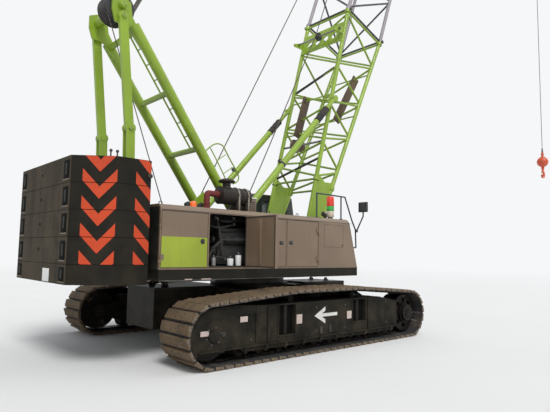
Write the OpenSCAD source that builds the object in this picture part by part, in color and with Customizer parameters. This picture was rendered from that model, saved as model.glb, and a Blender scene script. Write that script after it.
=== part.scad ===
// Crawler crane with a lattice boom, modelled at half of its full size.
// Origin: slewing axis at the ground. +X forward, +Y left, +Z up. Millimetres.

/* [Crawlers] */
// Half distance between the end wheels of a track
wheel_x = 1375; // [1200:5:1600]
// Distance from the middle to each track's centre line
track_y = 1075; // [1000:5:1150]
// Width of a track shoe
shoe_w = 425; // [380:5:480]
// Outer radius of a track round its end wheels
track_r = 265; // [240:1:280]
// Rise of the upper run above the end wheels
track_rise = 67; // [40:1:90]
// Distance of a carrier roller from the middle of the track
carrier_x = 450; // [350:10:600]
// Number of shoes in a track
shoe_count = 72; // [60:1:76]
// Height of a shoe's pad above the notch between two shoes
shoe_pad = 18; // [10:1:22]
// Width of the notch between two shoes
shoe_gap = 22; // [12:1:30]
// Thickness of a shoe's plate under the notch
shoe_plate = 16; // [10:1:20]
// Height of the chain's links inside the shoes
link_h = 18; // [12:1:24]
// Width of the chain
link_w = 130; // [100:5:160]
// Lower rollers in a track
roller_count = 10; // [7:1:11]
// Radius of a lower roller
roller_r = 60; // [50:1:64]
// Width of a track frame
frame_w = 330; // [300:5:360]
// Top of a track frame
frame_top = 478; // [440:1:480]
// Bottom edge of a track frame's side plates
frame_bottom = 105; // [90:1:125]
// Thickness of a track frame's side plates
frame_plate = 15; // [10:1:20]
// Radius of an end wheel
end_wheel_r = 205; // [190:1:207]
// Radius of the end wheels' axles
axle_r = 40; // [30:1:50]

/* [Car body] */
// Top of the car body
car_body_top = 600; // [590:1:610]
// Distance of a cross beam from the middle
cross_beam_x = 520; // [450:10:600]
// Width of a cross beam
cross_beam_w = 300; // [240:10:340]
// Bottom of a cross beam
cross_beam_bottom = 320; // [280:10:360]
// Radius of the drum under the slewing ring
drum_base_r = 450; // [420:10:500]
// Outer end of a car-body weight
weight_x = 1375; // [1200:5:1450]
// Width of a car-body weight
weight_w = 550; // [450:10:650]
// Bottom of a car-body weight
weight_bottom = 195; // [150:5:240]
// Top of a car-body weight
weight_top = 585; // [540:5:595]
// Outer radius of the slewing ring
ring_r = 400; // [370:5:415]

/* [Upper structure] */
// Rear end of the deck
deck_rear = -1660; // [-1700:5:-1600]
// Front end of the deck
deck_front = 925; // [880:5:960]
// Half width of the deck and of the housings
deck_y = 850; // [820:5:900]
// Underside of the deck
deck_bottom = 685; // [680:1:700]
// Top of the deck
deck_top = 778; // [765:1:800]
// Half width of the channel between the housings
channel_y = 500; // [485:1:530]
// Top of the housings
housing_top = 1330; // [1280:5:1400]
// Radius of the housings' roof edge
roof_edge_r = 60; // [30:5:90]
// Setback of the right housing's front edge at its top
front_setback = 150; // [80:10:250]
// Wall of the housings and thickness of their doors
panel_t = 25; // [20:1:30]
// Bottom edge of the housing doors
door_bottom = 790; // [785:1:820]
// Top edge of the housing doors
door_top = 1275; // [1200:5:1290]
// Gap round a door
door_gap = 5; // [5:1:8]
// Distance of a door's hinge axis outside the panel
hinge_out = 8; // [7:1:12]
// Radius of a hinge knuckle
hinge_r = 6; // [5:0.5:7]
// Length of a hinge knuckle
hinge_l = 45; // [30:5:60]
// Angle of the door that stands open
open_angle = 90; // [60:5:90]

/* [Boom] */
// Boom foot pin, distance in front of the slewing axis
foot_x = 535; // [500:5:580]
// Boom foot pin, height
foot_z = 875; // [860:5:900]
// Angle of the boom above level
boom_angle = 70.5; // [65:0.5:75]
// Distance between chord centres across the boom
boom_w = 750; // [700:10:780]
// Distance between chord centres in the boom's depth
boom_h = 750; // [650:10:800]
// Length of the boom base
base_l = 3420; // [3300:10:3600]
// Length of one boom insert
insert_l = 6000; // [5400:50:6300]
// Panels in one insert
insert_panels = 8; // [6:1:9]
// Length of the boom tip to its sheave shaft
tip_l = 3080; // [2900:10:3300]
// Diameter of the boom base's chords
base_chord_d = 54; // [50:1:60]
// Diameter of the inserts' chords
chord_d = 50; // [44:1:54]
// Diameter of the lacing
lace_d = 28; // [22:1:32]
// Diameter of the boom foot pins
foot_pin_d = 80; // [70:1:90]
// Radius of the boom foot bosses
foot_boss_r = 75; // [65:1:78]
// Length of the boom base's side plates
foot_plate_l = 1000; // [900:10:1100]
// Radius of the rope's line round a tip sheave
tip_sheave_r = 150; // [130:5:170]
// Offset of the tip sheaves towards the boom's front
tip_offset = 165; // [140:5:190]
// Radius of the bores for a jib's foot pins
jib_bore_r = 18; // [12:1:22]

/* [Gantry] */
// Gantry head shaft, x
head_x = -1825; // [-1860:5:-1780]
// Gantry head shaft, height
head_z = 3200; // [3100:5:3250]
// Half distance between the gantry legs
gantry_y = 300; // [295:1:305]
// Front legs' foot, x
leg_foot_x = -300; // [-340:10:-260]
// Diameter of a front leg
leg_d = 100; // [85:1:110]
// Joint of the rear legs' links, x
link_x = -1712; // [-1720:1:-1700]
// Joint of the rear legs' links, height
link_z = 2050; // [1950:10:2150]
// Width of a rear leg
rear_leg_w = 80; // [70:1:84]
// Radius of the gantry sheaves
head_sheave_r = 132; // [110:2:140]
// Distance from the gantry head to the bridle
bridle_gap = 2050; // [1950:10:2200]

/* [Winches] */
// Radius of a drum's flanges
flange_r = 172; // [160:1:175]
// Radius of a drum's barrel with its rope
barrel_r = 128; // [110:1:135]
// Height of the drum shafts
drum_z = 955; // [952:1:965]
// Front drum, x
front_drum_x = -120; // [-130:5:-100]
// Rear drum, x
rear_drum_x = -740; // [-780:5:-700]
// Luffing drum, x
luff_drum_x = -1270; // [-1300:5:-1240]
// Thickness of the side frames
side_frame_t = 40; // [30:2:50]

/* [Backstops] */
// Backstop foot, x
stop_foot_x = -600; // [-650:10:-560]
// Backstop foot, height
stop_foot_z = 1175; // [1160:5:1200]
// Distance of a backstop from the middle
stop_y = 434; // [434:1:440]
// Diameter of a backstop tube
stop_tube_d = 76; // [66:1:80]
// Diameter of a backstop rod
stop_rod_d = 44; // [36:1:50]
// Length of a backstop tube
stop_tube_l = 1900; // [1800:10:1930]
// Length of a backstop rod
stop_rod_l = 1700; // [1650:10:1800]
// Backstop lug on the boom, along the boom
stop_lug_l = 2067; // [2000:5:2120]

/* [Counterweight] */
// Rear face of the counterweight
weight_rear = -2335; // [-2400:5:-2250]
// Front face of the counterweight
weight_front = -1760; // [-1780:1:-1755]
// Where the side face meets the corner face
weight_corner_x = -2050; // [-2100:5:-1950]
// Half width of the rear face
weight_rear_y = 625; // [560:5:680]
// Underside of the counterweight
weight_base_z = 660; // [650:1:675]
// Height of the counterweight's base
weight_base_h = 157; // [140:1:170]
// Height of one slab
slab_h = 213; // [180:1:220]
// Number of slabs
slab_count = 4; // [2:1:4]

/* [Cab] */
// Rear wall of the cab
cab_rear = 480; // [470:5:500]
// Front of the cab
cab_front = 1250; // [1200:5:1280]
// Inner wall of the cab
cab_in = 505; // [505:1:520]
// Outer wall of the cab
cab_out = 950; // [940:5:980]
// Underside of the cab
cab_bottom = 800; // [790:5:820]
// Top of the cab
cab_top = 1700; // [1640:5:1740]
// Wall of the cab
cab_wall = 25; // [20:1:30]
// Thickness of the glass
glass_t = 5; // [4:1:6]
// Width of the cab door
cab_door_w = 500; // [450:10:520]

/* [Hook and ropes] */
// Diameter of the hoist rope
rope_d = 13; // [10:1:16]
// Height of the hook block's top
block_top = 3450; // [3300:10:3600]
// Height where the rope's upper and lower stretch meet
rope_joint_z = 12500; // [12400:10:12600]
// Radius of the ball weight
ball_r = 125; // [110:1:140]

/* [Hidden] */
$fn = 48;
lace_fn = 8;
lace_gap = 24;
lace_end_gap = 60;
chord_trim = 8;
collar_l = 45;
collar_step = 24;
brace_in = 22;
seat = 0.3;
bore_gap = 0.3;
part_gap = 5;

// The loop of a track: straight runs between four corner centres, rounded at one radius
slope = atan(track_rise / (wheel_x - carrier_x));
loop_corners = [[-wheel_x, track_r], [wheel_x, track_r], [carrier_x, track_r + track_rise],
    [-carrier_x, track_r + track_rise]];
loop_heading = [0, 180 - slope, 180, 180 + slope];
loop_turn = [180 - slope, slope, slope, 180 - slope];
pitch_r = track_r - shoe_pad - shoe_plate / 2;
function along(a) = [cos(a), sin(a)];
function outward(a) = [sin(a), -cos(a)];
function run_length(i) = norm(loop_corners[(i + 1) % 4] - loop_corners[i]);
function arc_length(i) = pitch_r * loop_turn[i] * PI / 180;
loop_length = run_length(0) + 2 * run_length(1) + run_length(2) + 2 * PI * pitch_r;
pitch = loop_length / shoe_count;
// Place on the pitch line as [x, z, heading]
function on_loop(s, i = 0) =
    s <= run_length(i) ? concat(loop_corners[i] + s * along(loop_heading[i])
            + pitch_r * outward(loop_heading[i]), [loop_heading[i]])
    : s <= run_length(i) + arc_length(i) ?
        let (turned = (s - run_length(i)) / arc_length(i) * loop_turn[i],
            heading = loop_heading[i] + turned)
        concat(loop_corners[(i + 1) % 4] + pitch_r * outward(heading), [heading])
    : on_loop(s - run_length(i) - arc_length(i), i + 1);
function shoe_point(k, t, n) =
    let (p = on_loop(k * pitch)) [p[0], p[1]] + t * along(p[2]) + n * outward(p[2]);
chain_inner = track_r - shoe_pad - shoe_plate - link_h;
roller_z = track_r - chain_inner + roller_r + seat;
carrier_r = 28;
carrier_z = track_r + track_rise + chain_inner - carrier_r - seat;
under_run_z = 515;

module rod(a, b, d, fn = 0) {
    v = b - a;
    translate(a) rotate([0, acos(v[2] / norm(v)), atan2(v[1], v[0])])
        cylinder(d = d, h = norm(v), $fn = fn > 0 ? fn : $fn);
}
module across(x, z, r, y1, y2) translate([x, y1, z]) rotate([-90, 0, 0]) cylinder(r = r, h = y2 - y1);
module slab_xz(points, y1, y2) translate([0, y2, 0]) rotate([90, 0, 0]) linear_extrude(y2 - y1)
    polygon(points);
module block(x1, x2, y1, y2, z1, z2) translate([x1, y1, z1]) cube([x2 - x1, y2 - y1, z2 - z1]);
module both_sides() {
    children();
    mirror([0, 1, 0]) children();
}

// Undercarriage
module car_body() color("#3a3b3c") {
    beam_end = track_y - frame_w / 2;
    for (side = [-1, 1], b = [[beam_end, under_run_z], [track_y - shoe_w / 2 - 12, car_body_top - 30]])
        block(side * cross_beam_x - cross_beam_w / 2, side * cross_beam_x + cross_beam_w / 2,
            -b[0], b[0], cross_beam_bottom, b[1]);
    block(-cross_beam_x, cross_beam_x, -drum_base_r, drum_base_r, cross_beam_bottom, car_body_top - 60);
    translate([0, 0, cross_beam_bottom]) cylinder(r = drum_base_r, h = car_body_top - cross_beam_bottom);
}
module car_body_weights() color("#2f3031") for (side = [-1, 1]) mirror([side > 0 ? 0 : 1, 0, 0]) {
    inner = cross_beam_x + cross_beam_w / 2;
    block(inner, weight_x, -weight_w / 2, weight_w / 2, weight_bottom, weight_top);
}
module slewing_ring() color("#4a4a48") translate([0, 0, car_body_top]) difference() {
    cylinder(r = ring_r, h = 42);
    translate([0, 0, -1]) cylinder(r = ring_r - 70, h = 44);
}
module track_frame() {
    half = frame_w / 2;
    beam_end = wheel_x - end_wheel_r - 25;
    side = [[-beam_end, frame_bottom + 60], [-beam_end + 90, frame_bottom], [beam_end - 90, frame_bottom],
        [beam_end, frame_bottom + 60], [beam_end, frame_top - 60], [beam_end - 330, frame_top],
        [-beam_end + 330, frame_top], [-beam_end, frame_top - 60]];
    beam_bottom = roller_z + roller_r + 12;
    difference() {
        union() {
            block(-beam_end, beam_end, -half, half, beam_bottom, frame_top - 60);
            block(-beam_end + 330, beam_end - 330, -half, half, beam_bottom, frame_top);
            for (s = [-1, 1]) slab_xz(side, s > 0 ? half - frame_plate : -half,
                s > 0 ? half : frame_plate - half);
        }
        // windows in the outer face, as [start, end, bottom]
        for (w = [[-665, -460, 200], [360, 575, 242]])
            block(w[0], w[1], -half - 1, -half + 40, w[2], frame_top - 12);
    }
    for (i = [0 : roller_count - 1]) {
        x = -beam_end + 110 + i * (2 * beam_end - 220) / (roller_count - 1);
        across(x, roller_z, roller_r, -link_w / 2 - 10, link_w / 2 + 10);
        across(x, roller_z, 25, -half + 2, half - 2);
    }
    for (x = [-carrier_x, carrier_x]) {
        across(x, carrier_z, carrier_r, -link_w / 2, link_w / 2);
        across(x, carrier_z, 12, -link_w / 2 - 25, link_w / 2 + 25);
        for (s = [-1, 1]) block(x - 30, x + 30, s * (link_w / 2 + 15) - 10, s * (link_w / 2 + 15) + 10,
            frame_top - 10, carrier_z + 18);
    }
    // arms that hold the end wheels' axles
    arm = [[0, 60], [0, -60], [-end_wheel_r - 40, -95], [-end_wheel_r - 40, 95]];
    for (a = [[-1, -1], [-1, 1], [1, 1]]) {
        y1 = a[1] > 0 ? half - frame_plate : -half;
        difference() {
            union() {
                slab_xz([for (p = arm) [a[0] * (wheel_x + p[0]), track_r + p[1]]], y1, y1 + frame_plate);
                across(a[0] * wheel_x, track_r, 75, y1, y1 + frame_plate);
            }
            across(a[0] * wheel_x, track_r, axle_r + bore_gap, y1 - 1, y1 + frame_plate + 1);
        }
    }
}
module track_frames() color("#2b2c2d") both_sides() translate([0, -track_y, 0]) track_frame();
module track() translate([0, -track_y, 0]) {
    edge = pitch / 2 - shoe_gap / 2;
    pads = [for (k = [0 : shoe_count - 1], c = [[-edge - 3, shoe_plate / 2],
        [-edge + 3, shoe_plate / 2 + shoe_pad],
        [edge - 3, shoe_plate / 2 + shoe_pad], [edge + 3, shoe_plate / 2]]) shoe_point(k + 0.5, c[0], c[1])];
    inner = [for (k = [0 : shoe_count - 1]) shoe_point(k, 0, -shoe_plate / 2)];
    links = [for (k = [0 : shoe_count - 1], c = [-pitch / 2 + 8, pitch / 2 - 8])
        shoe_point(k + 0.5, c, -shoe_plate / 2 - link_h)];
    band = [for (k = [0 : shoe_count - 1]) shoe_point(k, 0, 0)];
    ring_xz(pads, inner, shoe_w);
    ring_xz(band, links, link_w);
}
module ring_xz(outer, inner, w) translate([0, w / 2, 0]) rotate([90, 0, 0]) linear_extrude(w) difference() {
    polygon(outer);
    polygon(inner);
}
module track_right() color("#5b4a3a") track();
module track_left() color("#5b4a3a") mirror([0, 1, 0]) track();
module end_wheel(spokes) {
    rim = link_w / 2 + 30;
    difference() {
        union() {
            across(wheel_x, track_r, end_wheel_r, -rim, rim);
            across(wheel_x, track_r, axle_r, -frame_w / 2, frame_w / 2);
            across(wheel_x, track_r, 110, -rim - 30, rim);
        }
        for (i = [0 : spokes - 1]) rotate_about(wheel_x, track_r, i * 360 / spokes)
            across(wheel_x + 145, track_r, 26, -rim - 1, -rim + 45);
    }
}
module rotate_about(x, z, angle) translate([x, 0, z]) rotate([0, angle, 0]) translate([-x, 0, -z])
    children();
module drive_sprockets() color("#4b4038") both_sides() translate([0, -track_y, 0]) end_wheel(8);
module idler_wheels() color("#4b4038") both_sides() translate([0, -track_y, 0]) mirror([1, 0, 0])
    end_wheel(6);

// Deck with the side frames that carry boom, winches and gantry
leg_foot_z = 1100;
frame_in = gantry_y - side_frame_t / 2;
frame_out = gantry_y + side_frame_t / 2;
boss_out = boom_w / 2 + 30;
module drum_bores() for (x = [front_drum_x, rear_drum_x, luff_drum_x])
    across(x, drum_z, 40 + bore_gap, -frame_out - 1, frame_out + 1);
module deck() color("#2b2c2d") difference() {
    union() {
        block(deck_rear, deck_front, -deck_y + 1, deck_y - 1, deck_top - 30, deck_top);
        difference() {
            block(deck_rear, deck_front, -deck_y, deck_y, deck_bottom, deck_top);
            block(deck_rear + 20, deck_front - 20, -deck_y + 20, deck_y - 20, deck_bottom - 1,
                deck_top - 29);
        }
        translate([0, 0, car_body_top + 42 + seat]) cylinder(r = ring_r - 10,
            h = deck_top - car_body_top - 62);
        both_sides() {
            slab_xz([[weight_front, deck_bottom], [foot_x + 100, deck_bottom], [foot_x + 110, foot_z - 20],
                [foot_x + 50, foot_z + 70], [foot_x - 80, foot_z + 85], [foot_x - 335, leg_foot_z],
                [luff_drum_x - 150, leg_foot_z], [weight_front + 160, drum_z + 5],
                [weight_front, drum_z - 25]],
                frame_in, frame_out);
            slab_xz([[foot_x - 110, deck_top - 10], [foot_x + 120, deck_top - 10],
                [foot_x + 75, foot_z + 60],
                [foot_x, foot_z + 85], [foot_x - 75, foot_z + 60]], boss_out + part_gap,
                boss_out + part_gap + 30);
            // bracket of a backstop's foot
            difference() {
                slab_xz([[stop_foot_x - 130, deck_top - 10], [stop_foot_x + 130, deck_top - 10],
                    [stop_foot_x + 45, stop_foot_z + 45], [stop_foot_x - 45, stop_foot_z + 45]],
                    frame_out + 15, frame_out + 40);
                across(stop_foot_x, stop_foot_z, 20 + bore_gap, frame_out, frame_out + 60);
            }
        }
        both_sides() across(foot_x, foot_z, foot_pin_d / 2, frame_in, boss_out + part_gap + 40);
    }
    drum_bores();
    both_sides() across(link_foot[0], link_foot[1], 26 + bore_gap, frame_in - 1, frame_out + 1);
}
module drum(x, r, barrel) difference() {
    union() {
        across(x, drum_z, barrel, -frame_in + part_gap, frame_in - part_gap);
        both_sides() across(x, drum_z, r, frame_in - part_gap - 15, frame_in - part_gap);
        across(x, drum_z, 40, -frame_out, frame_out);
    }
    for (i = [0 : 5]) rotate_about(x, drum_z, i * 60)
        both_sides() across(x + barrel * 0.62, drum_z, 22, frame_in - 60, frame_in);
}
module front_drum() color("#6a625a") drum(front_drum_x, flange_r, barrel_r);
module rear_drum() color("#6a625a") drum(rear_drum_x, flange_r, barrel_r);
module luffing_drum() color("#6a625a") drum(luff_drum_x, flange_r - 20, barrel_r - 20);

// Housings and doors: x of the doors' edges, 1 = hinge at the front edge, -1 = at the rear edge
right_doors = [[-1650, -1180, -1], [-1165, -730, 1], [-690, -218, -1], [-208, 258, 1]];
left_doors = [[-1560, -1060, -1], [-1040, -540, 1]];
left_front = 400;
module housing_profile(inset) {
    // section across the right housing, as [y, z], with a rounded roof edge
    r = roof_edge_r - inset;
    y1 = -deck_y + inset;
    y2 = -channel_y - inset;
    z2 = housing_top - inset;
    union() {
        translate([y1, deck_top + inset]) square([y2 - y1, z2 - r - deck_top - inset]);
        translate([y1 + r, z2 - r - 1]) square([y2 - y1 - r, r + 1]);
        translate([y1 + r, z2 - r]) circle(r = r);
    }
}
module housing(front, setback, doors) difference() {
    intersection() {
        translate([deck_rear, 0, 0]) rotate([90, 0, 90]) linear_extrude(front - deck_rear)
            housing_profile(0);
        slab_xz([[deck_rear, deck_top], [front, deck_top], [front - setback, housing_top],
            [deck_rear, housing_top]],
            -deck_y, -channel_y);
    }
    intersection() {
        translate([deck_rear + panel_t, 0, 0]) rotate([90, 0, 90])
            linear_extrude(front - deck_rear - 2 * panel_t) housing_profile(panel_t);
        slab_xz([[deck_rear, deck_top], [front - panel_t, deck_top],
            [front - panel_t - setback, housing_top],
            [deck_rear, housing_top]], -deck_y, -channel_y);
    }
    for (d = doors) block(d[0], d[1], -deck_y - 1, -deck_y + panel_t + 1, door_bottom, door_top);
}
hinge_rows = [door_bottom + 70, door_top - 70 - hinge_l];
module fixed_knuckles(d) {
    x = d[2] > 0 ? d[1] : d[0];
    for (z = hinge_rows) translate([x, -deck_y - hinge_out, z - 26]) {
        cylinder(r = hinge_r, h = 25);
        translate([d[2] > 0 ? 0 : -18, hinge_out - hinge_r - 0.5, 0]) cube([18, hinge_r + 0.5, 25]);
        translate([d[2] > 0 ? 0 : -hinge_r, 0, 0]) cube([hinge_r, hinge_out, 25]);
    }
}
module right_housing() color("#8d8a84") {
    housing(deck_front, front_setback, right_doors);
    for (d = right_doors) fixed_knuckles(d);
}
module left_housing() color("#8d8a84") mirror([0, 1, 0]) {
    housing(left_front, 0, left_doors);
    for (d = left_doors) fixed_knuckles(d);
}
module door(d) {
    x = d[2] > 0 ? d[1] : d[0];
    block(d[0] + door_gap, d[1] - door_gap, -deck_y, -deck_y + panel_t, door_bottom + door_gap,
        door_top - door_gap);
    for (z = hinge_rows) translate([x, -deck_y - hinge_out, z]) {
        cylinder(r = hinge_r, h = hinge_l);
        translate([d[2] > 0 ? -30 : 0, hinge_out - hinge_r - 0.5, 0]) cube([30, hinge_r - 1.5, hinge_l]);
        translate([d[2] > 0 ? -30 : door_gap + 1, 2, 0]) cube([29 - door_gap, hinge_out - 2, hinge_l]);
    }
}
module opened(d, angle) {
    x = d[2] > 0 ? d[1] : d[0];
    translate([x, -deck_y - hinge_out, 0]) rotate([0, 0, d[2] * angle])
        translate([-x, deck_y + hinge_out, 0]) children();
}
module door_right_1() color("#a8b820") door(right_doors[0]);
module door_right_2() color("#8d8a84") opened(right_doors[1], open_angle) door(right_doors[1]);
module door_right_3() color("#8d8a84") door(right_doors[2]);
module door_right_4() color("#8d8a84") door(right_doors[3]);
module door_left_1() color("#8d8a84") mirror([0, 1, 0]) door(left_doors[0]);
module door_left_2() color("#8d8a84") mirror([0, 1, 0]) door(left_doors[1]);
engine_x = [-1000, -300];
module engine() color("#3c3d3e") block(engine_x[0], engine_x[1], -deck_y + 70, -channel_y - 60,
    deck_top + panel_t,
    housing_top - 150);

// Roof and deck fittings
filter_x = [-895, -555];
filter_z = housing_top + 190;
filter_y = -600;
cap_x = filter_x[0] + 90;
outlet_x = filter_x[0] - 120;
module air_filter() color("#6d5f52") {
    translate([filter_x[0], filter_y, filter_z]) rotate([0, 90, 0])
        cylinder(r = 87, h = filter_x[1] - filter_x[0]);
    translate([cap_x, filter_y, filter_z + 60]) cylinder(r = 30, h = 60);
    translate([cap_x, filter_y, filter_z + 95]) cylinder(r = 84, h = 24);
    translate([cap_x, filter_y, filter_z + 118]) cylinder(r = 58, h = 14);
    for (x = [filter_x[0] + 60, filter_x[0] + 255]) block(x, x + 30, filter_y - 60, filter_y + 60,
        housing_top, filter_z - 60);
    // rusty outlet bend behind the filter
    translate([outlet_x, filter_y, housing_top]) cylinder(r = 32, h = filter_z + 20 - housing_top);
    translate([outlet_x, filter_y, filter_z + 20]) sphere(r = 34);
    rod([outlet_x, filter_y, filter_z + 20], [filter_x[0] + 5, filter_y, filter_z + 20], 60);
}
module signal_lamps() {
    color("#d06a20") translate([filter_x[0] - 265, filter_y + 40, housing_top]) cylinder(r = 30, h = 108);
    color("#c03020") translate([deck_front - 253, filter_y - 50, housing_top]) cylinder(r = 12, h = 40);
    color("#c03020") translate([deck_front - 253, filter_y - 50, housing_top + 38])
        cylinder(r = 32, h = 222);
}
rail_d = 17;
module rail(points) {
    for (i = [0 : len(points) - 2]) rod(points[i], points[i + 1], rail_d, lace_fn);
}
rail_y = deck_y - roof_edge_r - 5;
rail_top = housing_top + 270;
module handrails() color("#3d454c") {
    // over the front right corner and down its slope
    x = deck_front;
    rail([for (p = [[x - 625, housing_top], [x - 625, rail_top], [x - 145, rail_top - 5],
        [x - 15, housing_top - 5],
        [x + 50, housing_top - 110], [x + 60, housing_top - 320], [x - 58.5, housing_top - 325]]) [p[0],
        -rail_y, p[1]]]);
    rail([[x - 215, -rail_y, housing_top], [x - 215, -rail_y, rail_top - 8]]);
}
module mirrors() color("#1c1c1c") {
    arm_y = rail_y + rail_d + 1;
    x = deck_front + 30;
    z = housing_top + 110;
    block(x, x + 35, -arm_y - rail_d / 2, -rail_y - rail_d / 2 - seat, z - 250, z - 215);
    rail([[x + 17, -arm_y, z - 240], [x + 145, -arm_y, z - 50], [x + 145, -arm_y, z + 5]]);
    block(x + 130, x + 160, -arm_y - 60, -arm_y + 60, z, z + 120);
    // left mirror, on an arm from the cab's side
    rail([[cab_front - 100, cab_out + seat, cab_top - 250], [cab_front - 100, cab_out + 40, cab_top - 250],
        [cab_front + 80, cab_out + 40, cab_top - 250]]);
    block(cab_front + 75, cab_front + 100, cab_out - 10, cab_out + 90, cab_top - 300, cab_top - 170);
}

// Cab
module cab_outline(inset) polygon([[cab_rear + inset, cab_bottom + inset],
    [cab_front - 60 - inset, cab_bottom + inset],
    [cab_front - inset, cab_bottom + 100 + inset / 2], [cab_front - inset, cab_bottom + 380],
    [cab_front - 95 - inset, cab_top - inset], [cab_rear + inset, cab_top - inset]]);
module cab_solid(inset) translate([0, cab_out - inset, 0]) rotate([90, 0, 0])
    linear_extrude(cab_out - cab_in - 2 * inset) cab_outline(inset);
door_x = cab_rear + 160;
rail_t = 4;
sill_z = cab_bottom + 280;
window_top = cab_top - 70;
door_sill = cab_bottom + 240;
seat_z = cab_bottom + 210;
rear_sill = cab_bottom + 350;
// windows as [x1, x2, y1, y2, z1, z2]
cab_windows = [
    [cab_front - 170, cab_front + 10, cab_in + 45, cab_out - 45, cab_bottom + 130, window_top],
    [cab_rear + 120, cab_front - 190, cab_in - 1, cab_in + cab_wall + 1, sill_z, window_top],
    [cab_rear - 1, cab_rear + cab_wall + 1, cab_in + 60, cab_out - 60, rear_sill, cab_top - 80],
    [cab_rear + 220, cab_front - 230, cab_in + 90, cab_out - 90, cab_top - cab_wall - 1, cab_top + 1]];
module cab() color("#7f7d78") {
    difference() {
        cab_solid(0);
        cab_solid(cab_wall);
        for (w = cab_windows) block(w[0], w[1], w[2], w[3], w[4], w[5]);
        block(door_x + 20, door_x + cab_door_w - 20, cab_out - cab_wall - 1, cab_out + 1,
            cab_bottom + 30, cab_top - 40);
    }
    // door rails and the beam under the cab
    for (z = [cab_bottom + 38, cab_top - 50]) block(door_x - cab_door_w + 60, door_x + cab_door_w + 20,
        cab_out,
        cab_out + rail_t, z - 20, z);
    block(deck_front, cab_front - 120, cab_in + 60, cab_out - 60, deck_top - 60, cab_bottom);
    block(cab_rear, deck_front, cab_in + 60, deck_y - 60, deck_top, cab_bottom);
}
module cab_glass() color("#9fb8c0", 0.4) {
    intersection() {
        difference() {
            cab_solid(0);
            cab_solid(glass_t);
        }
        block(cab_front - 170, cab_front + 10, cab_in + 45, cab_out - 45, cab_bottom + 130, window_top);
    }
    block(cab_rear + 120, cab_front - 190, cab_in + 10, cab_in + 10 + glass_t, sill_z, window_top);
    block(cab_rear + 10, cab_rear + 10 + glass_t, cab_in + 60, cab_out - 60, rear_sill, cab_top - 80);
    block(cab_rear + 220, cab_front - 230, cab_in + 90, cab_out - 90, cab_top - 15, cab_top - 15 + glass_t);
}
module cab_seat() color("#2a2a2c") {
    seat_y = (cab_in + cab_out) / 2;
    block(door_x, door_x + 220, seat_y - 110, seat_y + 110, seat_z, seat_z + 60);
    translate([door_x + 10, seat_y - 110, seat_z + 65]) rotate([0, -10, 0]) cube([60, 220, 330]);
}
module cab_console() color("#38393b") {
    seat_y = (cab_in + cab_out) / 2;
    block(door_x + 20, door_x + 200, seat_y - 80, seat_y + 80, cab_bottom + cab_wall, seat_z - seat);
    for (s = [-1, 1]) block(door_x + 20, door_x + 320, seat_y + s * 160 - 35, seat_y + s * 160 + 35,
        cab_bottom + cab_wall,
        seat_z + 110);
    block(cab_front - 170, cab_front - 120, seat_y - 150, seat_y + 150, cab_bottom + cab_wall, sill_z);
}
module cab_door() color("#7f7d78") {
    difference() {
        block(door_x, door_x + cab_door_w, cab_out + 9, cab_out + 30, cab_bottom + 12, cab_top - 22);
        block(door_x + 50, door_x + cab_door_w - 50, cab_out, cab_out + 40, door_sill, window_top);
    }
    // runners on the door rails
    for (x = [door_x + 30, door_x + cab_door_w - 70], z = [cab_bottom + 20, cab_top - 68])
        block(x, x + 40, cab_out + rail_t + seat, cab_out + 10, z, z + 16);
}
module cab_door_glass() color("#9fb8c0", 0.4)
    block(door_x + 50, door_x + cab_door_w - 50, cab_out + 16, cab_out + 16 + glass_t, door_sill,
    window_top);

// Counterweight
weight_outline = [[weight_front, -deck_y], [weight_front, deck_y], [weight_corner_x, deck_y],
    [weight_rear, weight_rear_y], [weight_rear, -weight_rear_y], [weight_corner_x, -deck_y]];
module weight_block(z, h, pads_h) translate([0, 0, z]) difference() {
    linear_extrude(h) polygon(weight_outline);
    for (s = [-1, 1]) translate([weight_rear - 1, s * (weight_rear_y - 50) - 28, (h - pads_h) / 2])
        cube([26, 56, pads_h]);
}
module counterweight_base() color("#2f3031") weight_block(weight_base_z, weight_base_h, 110);
module counterweight_slabs() color("#4c4c4b") for (i = [0 : slab_count - 1])
    weight_block(weight_base_z + weight_base_h + 0.4 + i * (slab_h + 0.4), slab_h, 130);

// Gantry
leg_end_gap = 200;
leg_l = norm([head_x - leg_foot_x, head_z - leg_foot_z]);
leg_dir = [head_x - leg_foot_x, 0, head_z - leg_foot_z] / leg_l;
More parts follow.
